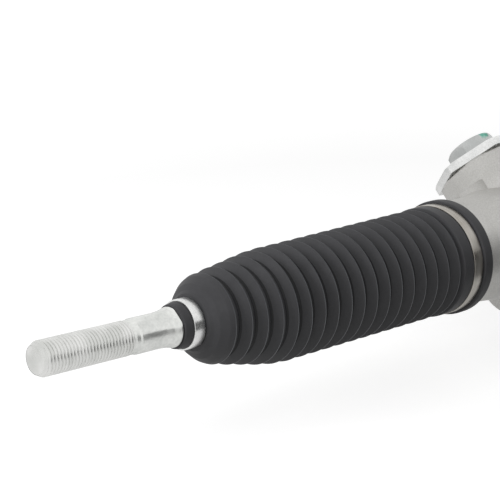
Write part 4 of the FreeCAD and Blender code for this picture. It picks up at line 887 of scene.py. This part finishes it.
glow = add(tree, "ShaderNodeMath", {"operation": "MULTIPLY_ADD"}, i0=rays.outputs["Is Camera Ray"],
           i1=paper_glow.outputs["Result"], i2=mirrored.outputs["Value"])
tree.links.new(glow.outputs["Value"], shader.inputs["Emission Strength"])
shader.inputs["Specular IOR Level"].default_value = 0.0
finish(floor, floor_paint)
print("object from", [round(v, 3) for v in low], "to", [round(v, 3) for v in high])

# %% [markdown]
# The surroundings are white for the eye and for reflections, but give far less light than that.
# A strong even light would fill the valleys of the folds and take their shape away.

# %% Surroundings
world = bpy.data.worlds.new("studio")
world.use_nodes = True
scene.world = world
tree = world.node_tree
tree.nodes.clear()
rays = add(tree, "ShaderNodeLightPath")
seen = add(tree, "ShaderNodeMath", {"operation": "MAXIMUM"}, i0=rays.outputs["Is Camera Ray"],
           i1=rays.outputs["Is Glossy Ray"])
seen = add(tree, "ShaderNodeMath", {"operation": "MAXIMUM"}, i0=seen.outputs["Value"],
           i1=rays.outputs["Is Transmission Ray"])
ambient = add(tree, "ShaderNodeBackground", Color=(1, 1, 1, 1), Strength=0.2)
white = add(tree, "ShaderNodeBackground", Color=(1, 1, 1, 1), Strength=1.0)
sky = add(tree, "ShaderNodeMixShader", Fac=seen.outputs["Value"], i1=ambient.outputs["Background"],
          i2=white.outputs["Background"])
add(tree, "ShaderNodeOutputWorld", Surface=sky.outputs["Shader"])
print("surroundings", world.name)

# %% [markdown]
# One large lamp overhead and a little in front models the folds from crest to valley. A smaller
# one from the left brightens the sides that face the camera. Two grey cards, one standing and one
# lying, are seen only in reflections: they give the bright metal of the rod its dark streak,
# without which it would look like plaster.


# %% Lamps and grey cards
def lamp(name, place, aim, size, power):
    light = bpy.data.lights.new(name, "AREA")
    light.shape = "RECTANGLE"
    light.size, light.size_y = size
    light.energy = power
    made = bpy.data.objects.new(name, light)
    made.location = place
    made.rotation_euler = (Vector(aim) - Vector(place)).to_track_quat("-Z", "Y").to_euler()
    made.visible_glossy = False
    scene.collection.objects.link(made)


MIDDLE = (-0.2, 0.0, 0.0)
lamp("overhead", (-0.55, -0.7, 1.35), MIDDLE, (1.5, 1.2), 11)
lamp("left_key", (-1.5, 0.25, 0.55), MIDDLE, (0.7, 0.7), 17)
CARD_LEVEL = solid_box[0].z + 0.002
LYING_OUTLINE = [(-0.235, -0.6), (0.5, -0.6), (0.5, -0.07), (0.0, -0.07), (-0.09, -0.075),
                 (-0.185, -0.11), (-0.235, -0.15)]
CARDS = {
    "standing_card": [(0.05, -0.85, -0.04), (1.0, -0.45, -0.04), (1.0, -0.45, 0.22),
                      (0.05, -0.85, 0.22)],
    "lying_card": [(x, y, CARD_LEVEL) for x, y in LYING_OUTLINE],
}
card_paint, _, _, _ = new_material("grey_card", 0.0, 0.8, "606060")
for name, corners in CARDS.items():
    card_mesh = bpy.data.meshes.new(name)
    card_mesh.from_pydata(corners, [], [tuple(range(len(corners)))])
    card = bpy.data.objects.new(name, card_mesh)
    scene.collection.objects.link(card)
    finish(card, card_paint)
    card.visible_camera = card.visible_shadow = card.visible_diffuse = False

# %% [markdown]
# The camera stands near the threaded end and looks along the gear, about fifteen degrees from
# above. Its place and its lens were worked out from the circles of the folds: how flat each one
# looks, and how fast they shrink towards the casting.

# %% Camera
lens = bpy.data.cameras.new("camera")
lens.sensor_width, lens.lens = 36.0, 100.8
lens.clip_start, lens.clip_end = 0.01, 50.0
camera = bpy.data.objects.new("camera", lens)
forward = Vector((0.6626, 0.7055, -0.2514)).normalized()
right = forward.cross(Vector((0, 0, 1))).normalized()
up = right.cross(forward)
camera.matrix_world = Matrix.Translation((-0.6226, -0.4062, 0.1706)) @ Matrix(
    (right, up, -forward)).transposed().to_4x4()
scene.collection.objects.link(camera)
scene.camera = camera
scene.view_settings.view_transform = "Standard"
print("camera", [round(v, 4) for v in camera.location])

# %% [markdown]
